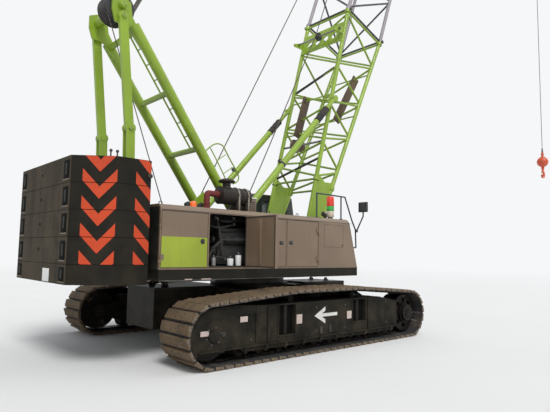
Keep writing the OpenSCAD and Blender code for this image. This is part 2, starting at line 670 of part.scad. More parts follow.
// Place on a front leg's line at a share of its length
function on_leg(t, y) = [leg_foot_x, y, leg_foot_z] + t * leg_l * leg_dir;
module gantry_front_legs() color("#a6c22c") {
    lap = on_leg(0.845, 0);
    for (s = [-1, 1]) {
        rod(on_leg(60 / leg_l, s * gantry_y), on_leg(1 - leg_end_gap / leg_l, s * gantry_y), leg_d);
        block(leg_foot_x - 90, leg_foot_x + 60, s * gantry_y - 30, s * gantry_y + 30, leg_foot_z,
            leg_foot_z + 100);
    }
    // cross tubes, as shares of the leg's length
    for (t = leg_cross) rod(on_leg(t, -gantry_y), on_leg(t, gantry_y), 60);
    // ladder on the right leg
    rod(on_leg(leg_cross[0], -ladder_y), on_leg(leg_cross[2], -ladder_y), 18, lace_fn);
    for (i = [0, 1], k = [1 : rungs[i] - 1]) {
        t = leg_cross[i] + (leg_cross[i + 1] - leg_cross[i]) * k / rungs[i];
        rod(on_leg(t, -gantry_y), on_leg(t, -ladder_y), 13, lace_fn);
    }
    // head plates, with the bores that the rear legs hang in
    both_sides() difference() {
        slab_xz([[head_x - 55, rear_pin[1] - 55], [head_x + 70, rear_pin[1] - 75],
            [lap[0] - 24, lap[2] - 24], [lap[0] + 28, lap[2] + 14],
            [head_x + 110, head_z - 70], [head_x + 90, head_z + 60], [head_x, head_z + 100],
            [head_x - 90, head_z + 60],
            [head_x - 90, head_z - 60]], frame_in - 28, frame_in - part_gap);
        across(rear_pin[0], rear_pin[1], 22 + bore_gap, frame_in - 31, frame_in);
    }
    across(head_x, head_z, 35, -gantry_y - 20, gantry_y + 20);
    // collar between the far head plate and the sheaves
    across(head_x, head_z, 50, head_sheave_y[len(head_sheave_y) - 1] + 40, frame_in - 20);
}
// Rear legs: a box leg pinned between two flat links, whose feet straddle the side frames
link_foot = [-1672, 860];
rear_pin = [head_x + 5, head_z - 110];
leg_cross = [0.42, 0.66, 0.905];
rungs = [4, 4];
ladder_y = 150;
head_sheave_y = [-222, -186, -150, -114, -78];
module gantry_rear_legs() color("#a6c22c") both_sides() {
    for (y = [frame_in - 18, frame_out + 4])
        flat_bar([link_foot[0], y, link_foot[1]], [link_x, y, link_z], 84, 14);
    for (p = [link_foot, [link_x, link_z]]) {
        across(p[0], p[1], 26, frame_in - 26, frame_out + 26);
        for (y = [frame_in - 20, frame_out + 2]) across(p[0], p[1], 50, y, y + 18);
    }
    flat_bar([link_x, frame_in, link_z], [rear_pin[0], frame_in, rear_pin[1]], rear_leg_w, side_frame_t);
    for (p = [[link_x, link_z], rear_pin]) across(p[0], p[1], rear_leg_w / 2 + 6, frame_in - 1,
        frame_out + 1);
    across(rear_pin[0], rear_pin[1], 22, frame_in - 30, frame_out + 6);
}
// A flat bar in a plane of constant y between two points
module flat_bar(a, b, w, t) {
    translate(a) rotate([0, -atan2(b[2] - a[2], b[0] - a[0]), 0]) translate([0, 0, -w / 2])
        cube([norm(b - a), t, w]);
}
module sheave(x, z, r, y, w) difference() {
    across(x, z, r + 12, y - w / 2, y + w / 2);
    translate([x, y, z]) rotate([-90, 0, 0]) rotate_extrude() translate([r + 10, 0]) circle(r = w / 2 - 3);
}
module gantry_sheaves() color("#1f1f1f") difference() {
    union() {
        for (y = head_sheave_y) sheave(head_x, head_z, head_sheave_r, y, 36);
        across(head_x, head_z, 60, head_sheave_y[0] - 20, head_sheave_y[4] + 30);
    }
    across(head_x, head_z, 35 + bore_gap, head_sheave_y[0] - 30, head_sheave_y[4] + 40);
}

// Backstops: a tube hinged on the deck, a rod that ends beside its lug on the boom
boom_dir = [cos(boom_angle), sin(boom_angle)];
boom_back = [-sin(boom_angle), cos(boom_angle)];
function chord_z(l) = 60 + (boom_h / 2 - 60) * l / base_l;
function on_boom(l, n) = [foot_x, foot_z] + l * boom_dir + n * boom_back;
stop_end_l = 215;
stop_end_d = 50;
stop_end = on_boom(stop_lug_l, chord_z(stop_lug_l));
stop_vec = stop_end - [stop_foot_x, stop_foot_z];
stop_dir = [stop_vec[0], 0, stop_vec[1]] / norm(stop_vec);
module backstop_tubes() color("#a6c22c") both_sides() {
    foot = [stop_foot_x, stop_y, stop_foot_z];
    difference() {
        rod(foot + 60 * stop_dir, foot + stop_tube_l * stop_dir, stop_tube_d);
        rod(foot + 90 * stop_dir, foot + (stop_tube_l + 1) * stop_dir, stop_rod_d + 2 * 4);
    }
    across(stop_foot_x, stop_foot_z, 42, stop_y - 30, stop_y + 30);
    rod(foot + 20 * stop_dir, foot + 80 * stop_dir, 60);
    across(stop_foot_x, stop_foot_z, 20, frame_out + 14, stop_y);
}
module backstop_rods() color("#1c1c1c") both_sides() {
    end = [stop_end[0], stop_y, stop_end[1]];
    rod(end - stop_rod_l * stop_dir, end, stop_rod_d);
    rod(end - stop_end_l * stop_dir, end - 10 * stop_dir, stop_end_d);
    across(end[0], end[2], 40, stop_y - stop_end_d / 2 - 1, stop_y + stop_end_d / 2 + 1);
}

// Boom: built along +X from the foot pin, its rear side at +Z, then raised to its angle
module raised() translate([foot_x, 0, foot_z]) rotate([0, -boom_angle, 0]) children();
// Lattice box between two stations; w and h are half sizes at start and end, cuts the shares where
// panels end.
// Lacing of neighbouring faces meets at the same joints.
module lattice(x1, x2, w, h, cuts, chord) {
    trim = chord_trim / (x2 - x1);
    last = len(cuts) - 2;
    function at(t, y, z) = [x1 + (x2 - x1) * t, y * (w[0] + (w[1] - w[0]) * t),
        z * (h[0] + (h[1] - h[0]) * t)];
    for (y = [-1, 1], z = [-1, 1]) {
        rod(at(trim, y, z), at(1 - trim, y, z), chord);
        for (t = [0, 1])
            rod(at(t, y, z) - [t * collar_l, 0, 0], at(t, y, z) + [(1 - t) * collar_l, 0, 0],
            chord + collar_step);
    }
    for (i = [0 : last], q = [-1, 1]) {
        s = q * (i % 2 == 0 ? 1 : -1);
        a = cuts[i] + (i == 0 ? lace_end_gap : lace_gap) / (x2 - x1);
        b = cuts[i + 1] - (i == last ? lace_end_gap : lace_gap) / (x2 - x1);
        rod(at(a, -s, q), at(b, s, q), lace_d, lace_fn);
        rod(at(a, q, -s), at(b, q, s), lace_d, lace_fn);
    }
    for (t = [0, 1], q = [-1, 1]) {
        inset = [(1 - 2 * t) * brace_in, 0, 0];
        rod(at(t, -1, q) + inset, at(t, 1, q) + inset, lace_d, lace_fn);
        rod(at(t, q, -1) + inset, at(t, q, 1) + inset, lace_d, lace_fn);
    }
}
function even_cuts(n) = [for (i = [0 : n]) i / n];
half_w = boom_w / 2;
half_h = boom_h / 2;
// Shares of the base's lattice where its panels end, and the holed plate's ends along the boom
base_cuts = [0, 0.114, 0.22, 0.325, 0.435, 0.545, 0.659, 0.815, 1];
holed_plate = [base_l - 490, base_l - 200];
plate_hole_r = 46;
head_l = 600;
module boom_base() color("#a6c22c") raised() {
    foot_h = chord_z(foot_plate_l);
    start = foot_plate_l - 40;
    lattice(start, base_l, [half_w, half_w], [chord_z(start), half_h], base_cuts, base_chord_d);
    both_sides() difference() {
        union() {
            for (z = [-1, 1]) rod([60, half_w, z * chord_z(60)], [foot_plate_l, half_w, z * foot_h],
                base_chord_d);
            slab_xz([[0, -60], [foot_plate_l + 60, -foot_h], [foot_plate_l, 0],
                [foot_plate_l + 60, foot_h], [0, 60]],
                half_w - 12, half_w + 12);
            across(0, 0, foot_boss_r, frame_out + part_gap, boss_out);
        }
        across(0, 0, foot_pin_d / 2 + bore_gap, 0, boom_w);
    }
    // plate with round holes on the rear chords, and the pointed brackets beside it
    plate_z = [for (l = holed_plate) chord_z(l) + base_chord_d / 2];
    difference() {
        slab_xz([[holed_plate[0], plate_z[0] - 11], [holed_plate[1], plate_z[1] - 11],
            [holed_plate[1], plate_z[1] + 4],
            [holed_plate[0], plate_z[0] + 4]], -half_w, half_w);
        for (i = [-1.5 : 1.5]) translate([holed_plate[0] + 126, i * boom_w / 5, half_h - 120])
            cylinder(r = plate_hole_r, h = 240);
    }
    both_sides() slab_xz([[holed_plate[0] + 110, plate_z[0] - 20], [holed_plate[0] + 230, plate_z[0] - 10],
        [holed_plate[0] + 80, plate_z[0] + 175], [holed_plate[0] + 50, plate_z[0] + 160]], half_w - 9,
        half_w + 9);
    both_sides() block(stop_lug_l - 60, stop_lug_l + 60, half_w - 20, half_w + 26,
        chord_z(stop_lug_l) - 20, chord_z(stop_lug_l) + 34);
}
insert_start = [for (i = [0 : 2]) base_l + i * insert_l];
module insert(i) raised() lattice(insert_start[i], insert_start[i] + insert_l, [half_w, half_w],
    [half_h, half_h], even_cuts(insert_panels), chord_d);
module boom_insert_1() color("#9a9590") insert(0);
module boom_insert_2() color("#9a9590") insert(1);
module boom_insert_3() color("#9a9590") insert(2);
tip_start = base_l + 3 * insert_l;
tip_end = tip_start + tip_l;
head_in = 150;
pendant_l = tip_end - 200;
pendant_n = 200;
module boom_tip() color("#9a9590") raised() {
    lattice(tip_start, tip_end - head_l, [half_w, head_in + 20], [half_h, 165], even_cuts(4), chord_d);
    both_sides() difference() {
        slab_xz([[tip_end - head_l - 60, 185], [pendant_l + 60, pendant_n + 40], [tip_end + 60, 60],
            [tip_end + 110, -tip_offset],
            [tip_end + 40, -tip_offset - 90], [tip_end - head_l - 60, -185]], head_in, head_in + 40);
        across(tip_end - 260, -170, jib_bore_r, head_in - 1, head_in + 41);
    }
    across(tip_end, -tip_offset, 30, -head_in - 52, head_in + 52);
    across(tip_end - 420, 0, 30, -head_in - 10, head_in + 10);
}
module tip_sheaves() color("#3a3a3a") raised() difference() {
    union() {
        for (y = [-45, 45]) sheave(tip_end, -tip_offset, tip_sheave_r, y, 40);
        across(tip_end, -tip_offset, 55, -head_in + part_gap, head_in - part_gap);
    }
    across(tip_end, -tip_offset, 30 + bore_gap, -head_in, head_in);
}
pendant_end = on_boom(pendant_l, pendant_n);
pendant_vec = pendant_end - [head_x, head_z];
pendant_dir = pendant_vec / norm(pendant_vec);
bridle_at = [head_x, head_z] + bridle_gap * pendant_dir;
bridle_pin_r = 16;
pendant_y = 244;
module bridle() translate([bridle_at[0], 0, bridle_at[1]])
    rotate([0, -atan2(pendant_dir[1], pendant_dir[0]), 0]) {
        for (z = [-60, 40]) translate([-120, -230, z]) cube([190, 460, 20]);
        both_sides() translate([-120, 210, -60]) cube([190, 20, 120]);
        rotate([90, 0, 0]) cylinder(r = bridle_pin_r, h = 2 * pendant_y + 30, center = true);
        translate([-70, 0, 0]) rotate([90, 0, 0]) cylinder(r = 30, h = 430, center = true);
        for (y = [-150, -75, 0, 75, 150]) translate([-70, y, 0]) rotate([90, 0, 0])
            cylinder(r = 105, h = 30, center = true);
    }
module boom_pendants() color("#8a8680") {
    bridle();
    both_sides() difference() {
        union() {
            across(bridle_at[0], bridle_at[1], 32, 230 + seat, pendant_y + 10);
            rod([bridle_at[0] + 24 * pendant_dir[0], pendant_y, bridle_at[1] + 24 * pendant_dir[1]],
                [pendant_end[0], head_in + 65, pendant_end[1]], 18);
            across(pendant_end[0], pendant_end[1], 30, head_in + 40 + seat, head_in + 90);
        }
        across(bridle_at[0], bridle_at[1], bridle_pin_r + bore_gap, 220, pendant_y + 20);
    }
}

// Hoist rope, ball weight and hook
tip_at = on_boom(tip_end, -tip_offset);
rope_x = tip_at[0] + tip_sheave_r;
rope_y = -45;
module rope_upper() color("#4a4642") rod([rope_x, rope_y, rope_joint_z], [rope_x, rope_y, tip_at[1]],
    rope_d);
module rope_lower() color("#4a4642") rod([rope_x, rope_y, block_top],
    [rope_x, rope_y, rope_joint_z - seat], rope_d);
module ball_weight() color("#c8512c") translate([rope_x, rope_y, 0]) {
    translate([0, 0, block_top - 130]) cylinder(r = 26, h = 130 - seat);
    translate([0, 0, block_top - 130 - 100]) sphere(r = ball_r);
    translate([0, 0, block_top - 400]) cylinder(r = 34, h = 120);
}
module hook() color("#c8512c") translate([rope_x, rope_y, block_top - 400 - seat]) {
    translate([0, 0, -50]) cylinder(r = 24, h = 50);
    translate([0, 0, -135]) rotate([90, 0, 0]) difference() {
        translate([0, 0, -18]) cylinder(r = 90, h = 36);
        translate([0, 0, -20]) cylinder(r = 48, h = 40);
        translate([-120, -10, -20]) cube([90, 60, 40]);
    }
}

car_body();
car_body_weights();
slewing_ring();
track_frames();
track_right();
track_left();
drive_sprockets();
idler_wheels();
deck();
right_housing();
left_housing();
engine();
counterweight_base();
counterweight_slabs();
gantry_front_legs();
gantry_rear_legs();
air_filter();
signal_lamps();
handrails();
mirrors();
cab();
cab_glass();
cab_seat();
cab_console();
cab_door();
cab_door_glass();
door_right_1();
door_right_2();
door_right_3();
door_right_4();
door_left_1();
door_left_2();
front_drum();
rear_drum();
luffing_drum();
gantry_sheaves();
backstop_tubes();
backstop_rods();
boom_base();
boom_insert_1();
boom_insert_2();
boom_insert_3();
boom_tip();
boom_pendants();
tip_sheaves();
rope_upper();
rope_lower();
ball_weight();
hook();
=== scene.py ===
# Crawler crane, 1:2 scale model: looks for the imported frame
from math import acos, asin, atan, atan2, copysign, cos, exp, hypot, pi, radians, sin

import bmesh
import bpy
from mathutils import Matrix, Vector


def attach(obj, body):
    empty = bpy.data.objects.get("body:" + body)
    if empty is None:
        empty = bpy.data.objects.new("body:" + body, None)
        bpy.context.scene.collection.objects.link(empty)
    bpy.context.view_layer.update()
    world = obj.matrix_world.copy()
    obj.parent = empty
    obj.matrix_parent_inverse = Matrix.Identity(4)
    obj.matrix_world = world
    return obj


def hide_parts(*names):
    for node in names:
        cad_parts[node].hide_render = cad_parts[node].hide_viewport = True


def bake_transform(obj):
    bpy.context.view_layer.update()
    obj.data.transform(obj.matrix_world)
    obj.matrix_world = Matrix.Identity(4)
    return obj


# the start-up scene's own cube, where there is one
if "Cube" in bpy.data.objects:
    bpy.data.objects.remove(bpy.data.objects["Cube"])
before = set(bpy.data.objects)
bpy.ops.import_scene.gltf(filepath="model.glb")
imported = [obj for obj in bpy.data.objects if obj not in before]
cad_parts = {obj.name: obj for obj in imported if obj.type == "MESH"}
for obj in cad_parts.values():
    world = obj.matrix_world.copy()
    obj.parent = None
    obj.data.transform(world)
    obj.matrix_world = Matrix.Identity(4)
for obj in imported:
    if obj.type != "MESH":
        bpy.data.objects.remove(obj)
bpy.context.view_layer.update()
print("frame loaded:", len(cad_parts), "nodes")


# shader maths
class Value:
    # one output of a node, on which plain maths adds Math nodes
    def __init__(self, finish, link):
        self.finish, self.link = finish, link

    def maths(self, operation, first, second=0.0):
        return self.finish.node("Math", {"operation": operation}, {0: first, 1: second})

    def __add__(self, other):
        return self.maths("ADD", self, other)

    def __sub__(self, other):
        return self.maths("SUBTRACT", self, other)

    def __rsub__(self, other):
        return self.maths("SUBTRACT", other, self)

    def __mul__(self, other):
        return self.maths("MULTIPLY", self, other)

    def __gt__(self, other):
        return self.maths("GREATER_THAN", self, other)

    def __lt__(self, other):
        return self.maths("LESS_THAN", self, other)

    def __abs__(self):
        return self.finish.node("Math", {"operation": "ABSOLUTE"}, {0: self})

    __radd__ = __add__
    __rmul__ = __mul__


class Finish:
    # a material, its nodes and its shader
    def __init__(self, name, colour, roughness=0.5, metallic=0.0):
        self.material = bpy.data.materials.new(name)
        self.material.use_nodes = True
        self.tree = self.material.node_tree
        self.shader = self.tree.nodes["Principled BSDF"]
        self.set("Roughness", roughness)
        self.set("Metallic", metallic)
        self.set("Base Color", colour)
        self.material.diffuse_color = (*colour, 1.0)

    def node(self, kind, settings=None, sockets=None, output=0):
        made = self.tree.nodes.new("ShaderNode" + kind)
        for key, value in (settings or {}).items():
            if key == "stops":
                ramp = made.color_ramp
                while len(ramp.elements) < len(value):
                    ramp.elements.new(0.5)
                for element, (place, shade) in zip(ramp.elements, value):
                    element.position, element.color = place, (*shade, 1.0)
            else:
                setattr(made, key, value)
        for key, value in (sockets or {}).items():
            self.plug(made.inputs[key], value)
        return Value(self, made.outputs[output])

    def plug(self, socket, value):
        if isinstance(value, Value):
            self.tree.links.new(value.link, socket)
        elif isinstance(value, (tuple, list)) and socket.type == "RGBA" and len(value) == 3:
            socket.default_value = (*value, 1.0)
        else:
            socket.default_value = value

    def set(self, name, value):
        self.plug(self.shader.inputs[name], value)

    def place(self, scale=(1, 1, 1)):
        where = self.node("TexCoord", output="Object")
        if scale == (1, 1, 1):
            return where
        return self.node("Mapping", {}, {"Vector": where, "Scale": scale})

    def axis(self, name, where=None):
        return self.node("SeparateXYZ", {}, {0: where or self.place()}, output=name)

    def spots(self, low, high, size, detail=3.0, stretch=(1, 1, 1)):
        # noise of which only the part above low counts, full from high on
        return self.ramp(self.noise(size, detail, stretch), low, high)

    def noise(self, size, detail=3.0, stretch=(1, 1, 1), rough=0.55):
        return self.node("TexNoise", {"noise_dimensions": "3D"},
            {"Vector": self.place(stretch), "Scale": size, "Detail": detail, "Roughness": rough})

    def ramp(self, value, low, high):
        # 0 below low, 1 above high
        return self.node("MapRange", {"interpolation_type": "SMOOTHSTEP"},
            {"Value": value, "From Min": low, "From Max": high})

    def mix(self, amount, first, second, blend="MIX"):
        return self.node("Mix", {"data_type": "RGBA", "blend_type": blend}, {0: amount, 6: first, 7: second}, output=2)

    def bump(self, height, strength, distance=0.002):
        self.set("Normal", self.node("Bump", {}, {"Height": height, "Strength": strength, "Distance": distance}))


def shade(colour, factor):
    return tuple(min(1.0, part * factor) for part in colour)


colours = {
    "lime": (0.238, 0.362, 0.02),
    "limePatch": (0.31, 0.385, 0.022),
    "housing": (0.192, 0.132, 0.085),
    "charcoal": (0.0095, 0.0095, 0.0065),
    "slab": (0.012, 0.011, 0.008),
    "slabRear": (0.052, 0.04, 0.025),
    "orange": (0.52, 0.048, 0.005),
    # mud, set a little darker as painted shade for the shadow under the tracks
    "mudAndShade": (0.066, 0.041, 0.019),
    "dryMud": (0.165, 0.112, 0.06),
    "dust": (0.26, 0.195, 0.13),
    "steel": (0.3, 0.29, 0.28),
    "insert": (0.29, 0.265, 0.275),
    "lacing": (0.05, 0.05, 0.058),
    "rubber": (0.018, 0.018, 0.018),
    "rust": (0.16, 0.055, 0.025),
    "white": (0.72, 0.72, 0.7),
    "hookRed": (0.62, 0.085, 0.025),
    "sheave": (0.028, 0.028, 0.03),
}


# finishes
def paint(name, colour, roughness=0.42, dustTop=0.8, dust=0.55, wear=0.25, coat=0.25, alter=None):
    # sprayed paint: slight mottle, rain streaks, dust that thins out with height, small chips
    made = Finish(name, colour, roughness)
    mottle = made.noise(2.2, 4)
    streaks = made.noise(9, 3, (1, 1, 0.1))
    grit = made.noise(70, 3)
    base = made.mix(made.ramp(mottle, 0.35, 0.7), shade(colour, 0.9), shade(colour, 1.08))
    base = made.mix(made.ramp(streaks, 0.52, 0.75) * 0.3, base, shade(colour, 0.62))
    height = 1 - made.ramp(made.axis("Z"), 0.15, dustTop)
    cover = height * made.spots(0.3, 0.75, 6, 5) * dust + made.ramp(grit, 0.62, 0.8) * 0.1 * dust
    base = made.mix(cover, base, colours["dust"])
    chips = made.spots(0.735, 0.75, 34, 2) * made.ramp(mottle, 0.45, 0.6) * wear
    base = made.mix(chips, base, shade(colours["rust"], 0.6))
    if alter:
        base = alter(made, base)
    made.set("Base Color", base)
    made.set("Roughness", cover * 0.35 + made.ramp(grit, 0.3, 0.7) * 0.1 + roughness)
    made.set("Coat Weight", (1 - cover) * coat)
    made.set("Specular IOR Level", 0.5 if max(colour) > 0.1 else 0.14)
    made.bump(grit * 0.4 + made.noise(300, 2) * 0.6, 0.12, 0.0012)
    return made.material


def bayShade(made, base):
    # inside the housings the paint is darkened as painted shade of the enclosed bays, with an oily mottle
    side = abs(made.axis("Y"))
    inside = (side < 0.828) * (side > 0.506) * (made.axis("Z") < 1.3065) * (made.axis("X") < 0.888)
    shadeAndOil = made.mix(made.spots(0.4, 0.7, 6, 4), (0.014, 0.014, 0.012), (0.04, 0.036, 0.03))
    return made.mix(inside, base, shadeAndOil)


def rearDust(made, base):
    # the pile's rear face is bleached and streaked, its corners stay near black
    rear = made.axis("X") < -2.331
    run = made.mix(made.spots(0.4, 0.7, 10, 4, (1, 1, 0.06)), colours["slabRear"], shade(colours["slabRear"], 0.55))
    run = made.mix(made.spots(0.45, 0.72, 3.5, 5) * 0.55, run, shade(colours["slabRear"], 1.7))
    return made.mix(rear * 0.92, base, run)


def cabShade(made, base):
    # pillars, roof edge and rear of the cab are dark green-black above the sills
    upper = made.ramp(made.axis("Z"), 1.068, 1.072) * (1 - made.ramp(made.axis("Z"), 1.6985, 1.699))
    return made.mix(upper, base, (0.012, 0.019, 0.016))


def rodShade(made, base):
    # the backstops' rods are bright steel below their painted ends
    bright = made.axis("Z") < 2.735
    fine = made.noise(150, 3, (1, 1, 0.3))
    return made.mix(bright, base, made.mix(fine, (0.24, 0.23, 0.22), (0.4, 0.39, 0.38)))


def muddySteel(name, colour, mudShare=0.6, roughness=0.75, alter=None):
    # worn steel under caked and dried mud
    made = Finish(name, colour, roughness, 0.3)
    lumps = made.noise(22, 6, rough=0.65)
    patches = made.noise(5, 5)
    fine = made.noise(120, 4)
    # the wet mud tone is real mud, darkened a little as painted shade
    mudAndShade = made.mix(made.ramp(fine + patches * 0.5, 0.55, 1.0), colours["mudAndShade"], colours["dryMud"])
    mudAndShade = made.mix(made.ramp(lumps, 0.55, 0.75) * 0.5, mudAndShade, shade(colours["mudAndShade"], 0.5))
    cover = made.ramp(patches * 0.6 + lumps * 0.4, 0.66 - 0.42 * mudShare, 0.8 - 0.42 * mudShare)
    worn = made.mix(made.ramp(fine, 0.4, 0.65), shade(colour, 0.6), shade(colour, 1.4))
    base = made.mix(cover, worn, mudAndShade)
    made.set("Base Color", alter(made, base) if alter else base)
    made.set("Roughness", cover * 0.3 + 0.55)
    made.set("Metallic", (1 - cover) * 0.7)
    made.bump(lumps * 0.7 + fine * 0.3, 0.8, 0.006)
    return made.material


def shoeEdge(made, base):
    # the shoes' ends rub bright, and what faces the ground or the frame stays dark
    rub = (abs(made.axis("Y")) > 1.281) * made.spots(0.4, 0.6, 45, 4)
    return made.mix(rub * 0.8, base, (0.17, 0.145, 0.12))


def bareMetal(name, colour, roughness=0.4, grease=0.4):
    made = Finish(name, colour, roughness, 0.85)
    film = made.spots(0.4, 0.7, 7, 4) * grease
    fine = made.noise(150, 3, (1, 1, 0.3))
    base = made.mix(made.ramp(fine, 0.3, 0.7), shade(colour, 0.75), shade(colour, 1.2))
    made.set("Base Color", made.mix(film, base, (0.035, 0.028, 0.02)))
    made.set("Roughness", made.ramp(fine, 0.3, 0.7) * 0.2 + film * 0.15 + roughness)
    made.set("Metallic", 0.9 - film * 0.5)
    made.bump(fine, 0.15, 0.0006)
    return made.material


def blackPlastic(name, colour=(0.02, 0.02, 0.021), roughness=0.55, dust=0.3):
    made = Finish(name, colour, roughness)
    grain = made.noise(420, 2)
    film = made.spots(0.45, 0.75, 8, 4) * dust
    base = made.mix(grain, shade(colour, 0.8), shade(colour, 1.3))
    made.set("Base Color", made.mix(film, base, shade(colours["dust"], 0.5)))
    made.set("Roughness", film * 0.25 + made.ramp(grain, 0.3, 0.7) * 0.12 + roughness)
    made.bump(grain, 0.25, 0.0004)
    return made.material


def windowGlass(name, tint=(0.1, 0.13, 0.13)):
    # dark tinted pane with a dusty film at its edges
    made = Finish(name, tint, 0.06)
    film = made.spots(0.45, 0.8, 5, 5)
    made.set("Base Color", made.mix(film * 0.35, tint, colours["dust"]))
    made.set("Roughness", film * 0.25 + 0.05)
    made.set("Alpha", film * 0.25 + 0.5)
    made.set("Coat Weight", 0.6)
    return made.material


def lampLens(name, colour, glow):
    # ribbed translucent plastic
    made = Finish(name, colour, 0.22)
    ribs = made.node("TexWave", {"bands_direction": "Z"}, {"Vector": made.place(), "Scale": 60.0}, output=1)
    made.set("Base Color", made.mix(ribs, shade(colour, 0.7), colour))
    made.set("Emission Color", made.mix(ribs, shade(colour, 0.5), colour))
    made.shader.inputs["Emission Strength"].default_value = glow
    made.set("Coat Weight", 0.8)
    made.bump(ribs, 0.3, 0.001)
    return made.material


def wireRope(name, colour=(0.085, 0.075, 0.065)):
    # strands wind round the rope: slanted bands, greasy in the valleys
    made = Finish(name, colour, 0.5, 0.6)
    lay = made.node("TexWave", {"bands_direction": "DIAGONAL"},
        {"Vector": made.place(), "Scale": 28.0, "Distortion": 0.0}, output=1)
    rustSpots = made.spots(0.5, 0.75, 14, 4)
    tone = made.mix(lay, shade(colour, 0.35), shade(colour, 1.8))
    made.set("Base Color", made.mix(rustSpots * 0.4, tone, (0.1, 0.055, 0.03)))
    made.set("Roughness", lay * 0.2 + 0.4)
    made.bump(lay, 0.6, 0.002)
    return made.material


def latticePaint(name):
    # pale chords, dark lacing: chords lie at the corners of the boom's square section
    made = Finish(name, colours["insert"], 0.5)
    tilt = (0, radians(boomAngle), 0)
    shifted = made.node("VectorMath", {"operation": "SUBTRACT"}, {0: made.place(), 1: boomFoot})
    turned = made.node("Mapping", {}, {"Vector": shifted, "Rotation": tilt})
    chord = (abs(made.axis("Y", turned)) > 0.345) * (abs(made.axis("Z", turned)) > 0.345)
    streaks = made.noise(5, 4, (1, 1, 0.3))
    grit = made.noise(60, 3)
    pale = made.mix(made.ramp(streaks, 0.35, 0.7), shade(colours["insert"], 0.82), shade(colours["insert"], 1.12))
    dark = made.mix(made.ramp(streaks, 0.35, 0.7), shade(colours["lacing"], 0.8), shade(colours["lacing"], 1.5))
    made.set("Base Color", made.mix(made.ramp(grit, 0.62, 0.8) * 0.2, made.mix(chord, dark, pale), colours["dust"]))
    made.set("Roughness", made.ramp(grit, 0.3, 0.7) * 0.15 + 0.42)
    made.bump(grit, 0.15, 0.001)
    return made.material


boomAngle = 70.5
boomFoot = (0.535, 0.0, 0.875)
chordAt = 0.375
roofTop = 1.3305


def boomPoint(along, side, back):
    # a place in the boom's own frame: along it, across it, towards its rear side
    a = radians(boomAngle)
    return Vector((boomFoot[0] + along * cos(a) - back * sin(a), side, boomFoot[2] + along * sin(a) + back * cos(a)))


finishes = {
    "lime": paint("limePaint", colours["lime"], dustTop=1.0, dust=0.35, wear=0.5),
    "limePatch": paint("limePatchPaint", colours["limePatch"], dustTop=1.1, dust=0.25, wear=0.2),
    "housing": paint("housingPaint", colours["housing"], 0.42, dustTop=1.15, dust=0.4, wear=0.15, alter=bayShade),
    "cabShell": paint("cabPaint", colours["housing"], 0.4, dustTop=1.15, dust=0.35, wear=0.1, alter=cabShade),
    "charcoal": paint("charcoalPaint", colours["charcoal"], 0.5, dustTop=0.95, dust=0.16, wear=0.2, coat=0.1),
    "slab": paint("slabPaint", colours["slab"], 0.66, dustTop=2.6, dust=0.07, wear=0.4, coat=0.0, alter=rearDust),
    "frame": paint("trackFramePaint", (0.0075, 0.0075, 0.0055), 0.7, dustTop=0.8, dust=0.13, wear=0.2, coat=0.0),
    "rodEnd": paint("rodPaint", colours["lime"], 0.38, dustTop=1.0, dust=0.2, wear=0.2, alter=rodShade),
    "orange": paint("reflectiveOrange", colours["orange"], 0.55, dustTop=1.0, dust=0.1, wear=0.1, coat=0.0),
    "white": paint("whitePaint", colours["white"], 0.45, dustTop=0.7, dust=0.45, wear=0.2),
    "railing": paint("railingPaint", (0.045, 0.06, 0.075), 0.45, dustTop=1.0, dust=0.2, wear=0.5),
    "hook": paint("hookPaint", colours["hookRed"], 0.45, dustTop=0.5, dust=0.2, wear=0.9),
    "shoes": muddySteel("muddyShoes", (0.05, 0.04, 0.03), 0.8, alter=shoeEdge),
    "wheels": muddySteel("muddyWheels", (0.018, 0.015, 0.012), 0.3),
    "steel": bareMetal("bareSteel", colours["steel"]),
    "darkSteel": bareMetal("darkSteel", (0.1, 0.095, 0.09), 0.45, 0.5),
    "castIron": blackPlastic("castIron", (0.02, 0.02, 0.02), 0.55, 0.25),
    "plastic": blackPlastic("blackPlastic"),
    "rubber": blackPlastic("rubber", colours["rubber"], 0.75, 0.45),
    "sheave": blackPlastic("sheaveNylon", colours["sheave"], 0.42, 0.25),
    "glass": windowGlass("tintedGlass"),
    "rope": wireRope("wireRope"),
    "lattice": latticePaint("latticePaint"),
    "board": muddySteel("boomBoards", (0.115, 0.082, 0.058), 0.4, 0.8),
    "rust": muddySteel("rustyExhaust", colours["rust"], 0.25, 0.85),
    "filter": paint("filterPaint", (0.026, 0.021, 0.017), 0.5, dustTop=1.75, dust=0.1, wear=0.25, coat=0.15),
    "galvanised": bareMetal("galvanisedStrap", (0.3, 0.27, 0.23), 0.5, 0.3),
    "rustPipe": paint("rustyPipe", (0.17, 0.026, 0.022), 0.75, dustTop=1.7, dust=0.12, wear=1.0, coat=0.0),
    "cream": paint("creamLens", (0.7, 0.6, 0.45), 0.35, dustTop=1.0, dust=0.2, wear=0.05, coat=0.5),
    # near black with no dust: painted shade over recesses, and the dark joints between slabs
    "shadeAndJoints": paint("shadeAndJointBlack", (0.0015, 0.0015, 0.0012), 0.85, dustTop=3.0, dust=0.0, wear=0.0, coat=0.0),
    "keeper": paint("keeperPaint", (0.02, 0.024, 0.021), 0.6, dustTop=2.0, dust=0.15, wear=0.4, coat=0.0),
    "lip": paint("wornLip", (0.2, 0.165, 0.125), 0.7, dustTop=2.0, dust=0.4, wear=0.8, coat=0.0),
    "palePlate": paint("palePlate", (0.52, 0.42, 0.38), 0.45, dustTop=0.7, dust=0.3, wear=0.3),
    "fabric": blackPlastic("seatCloth", (0.03, 0.031, 0.034), 0.85, 0.35),
    # mirror panes are near black: a painted dark reflection
    "mirror": blackPlastic("mirrorPane", (0.012, 0.013, 0.015), 0.08, 0.1),
    "redLens": lampLens("redLens", (0.7, 0.03, 0.01), 0.35),
    "greenLens": lampLens("greenLens", (0.02, 0.4, 0.05), 0.3),
    "amberLens": lampLens("amberLens", (0.9, 0.13, 0.006), 0.55),
}
print("finishes made:", len(finishes))

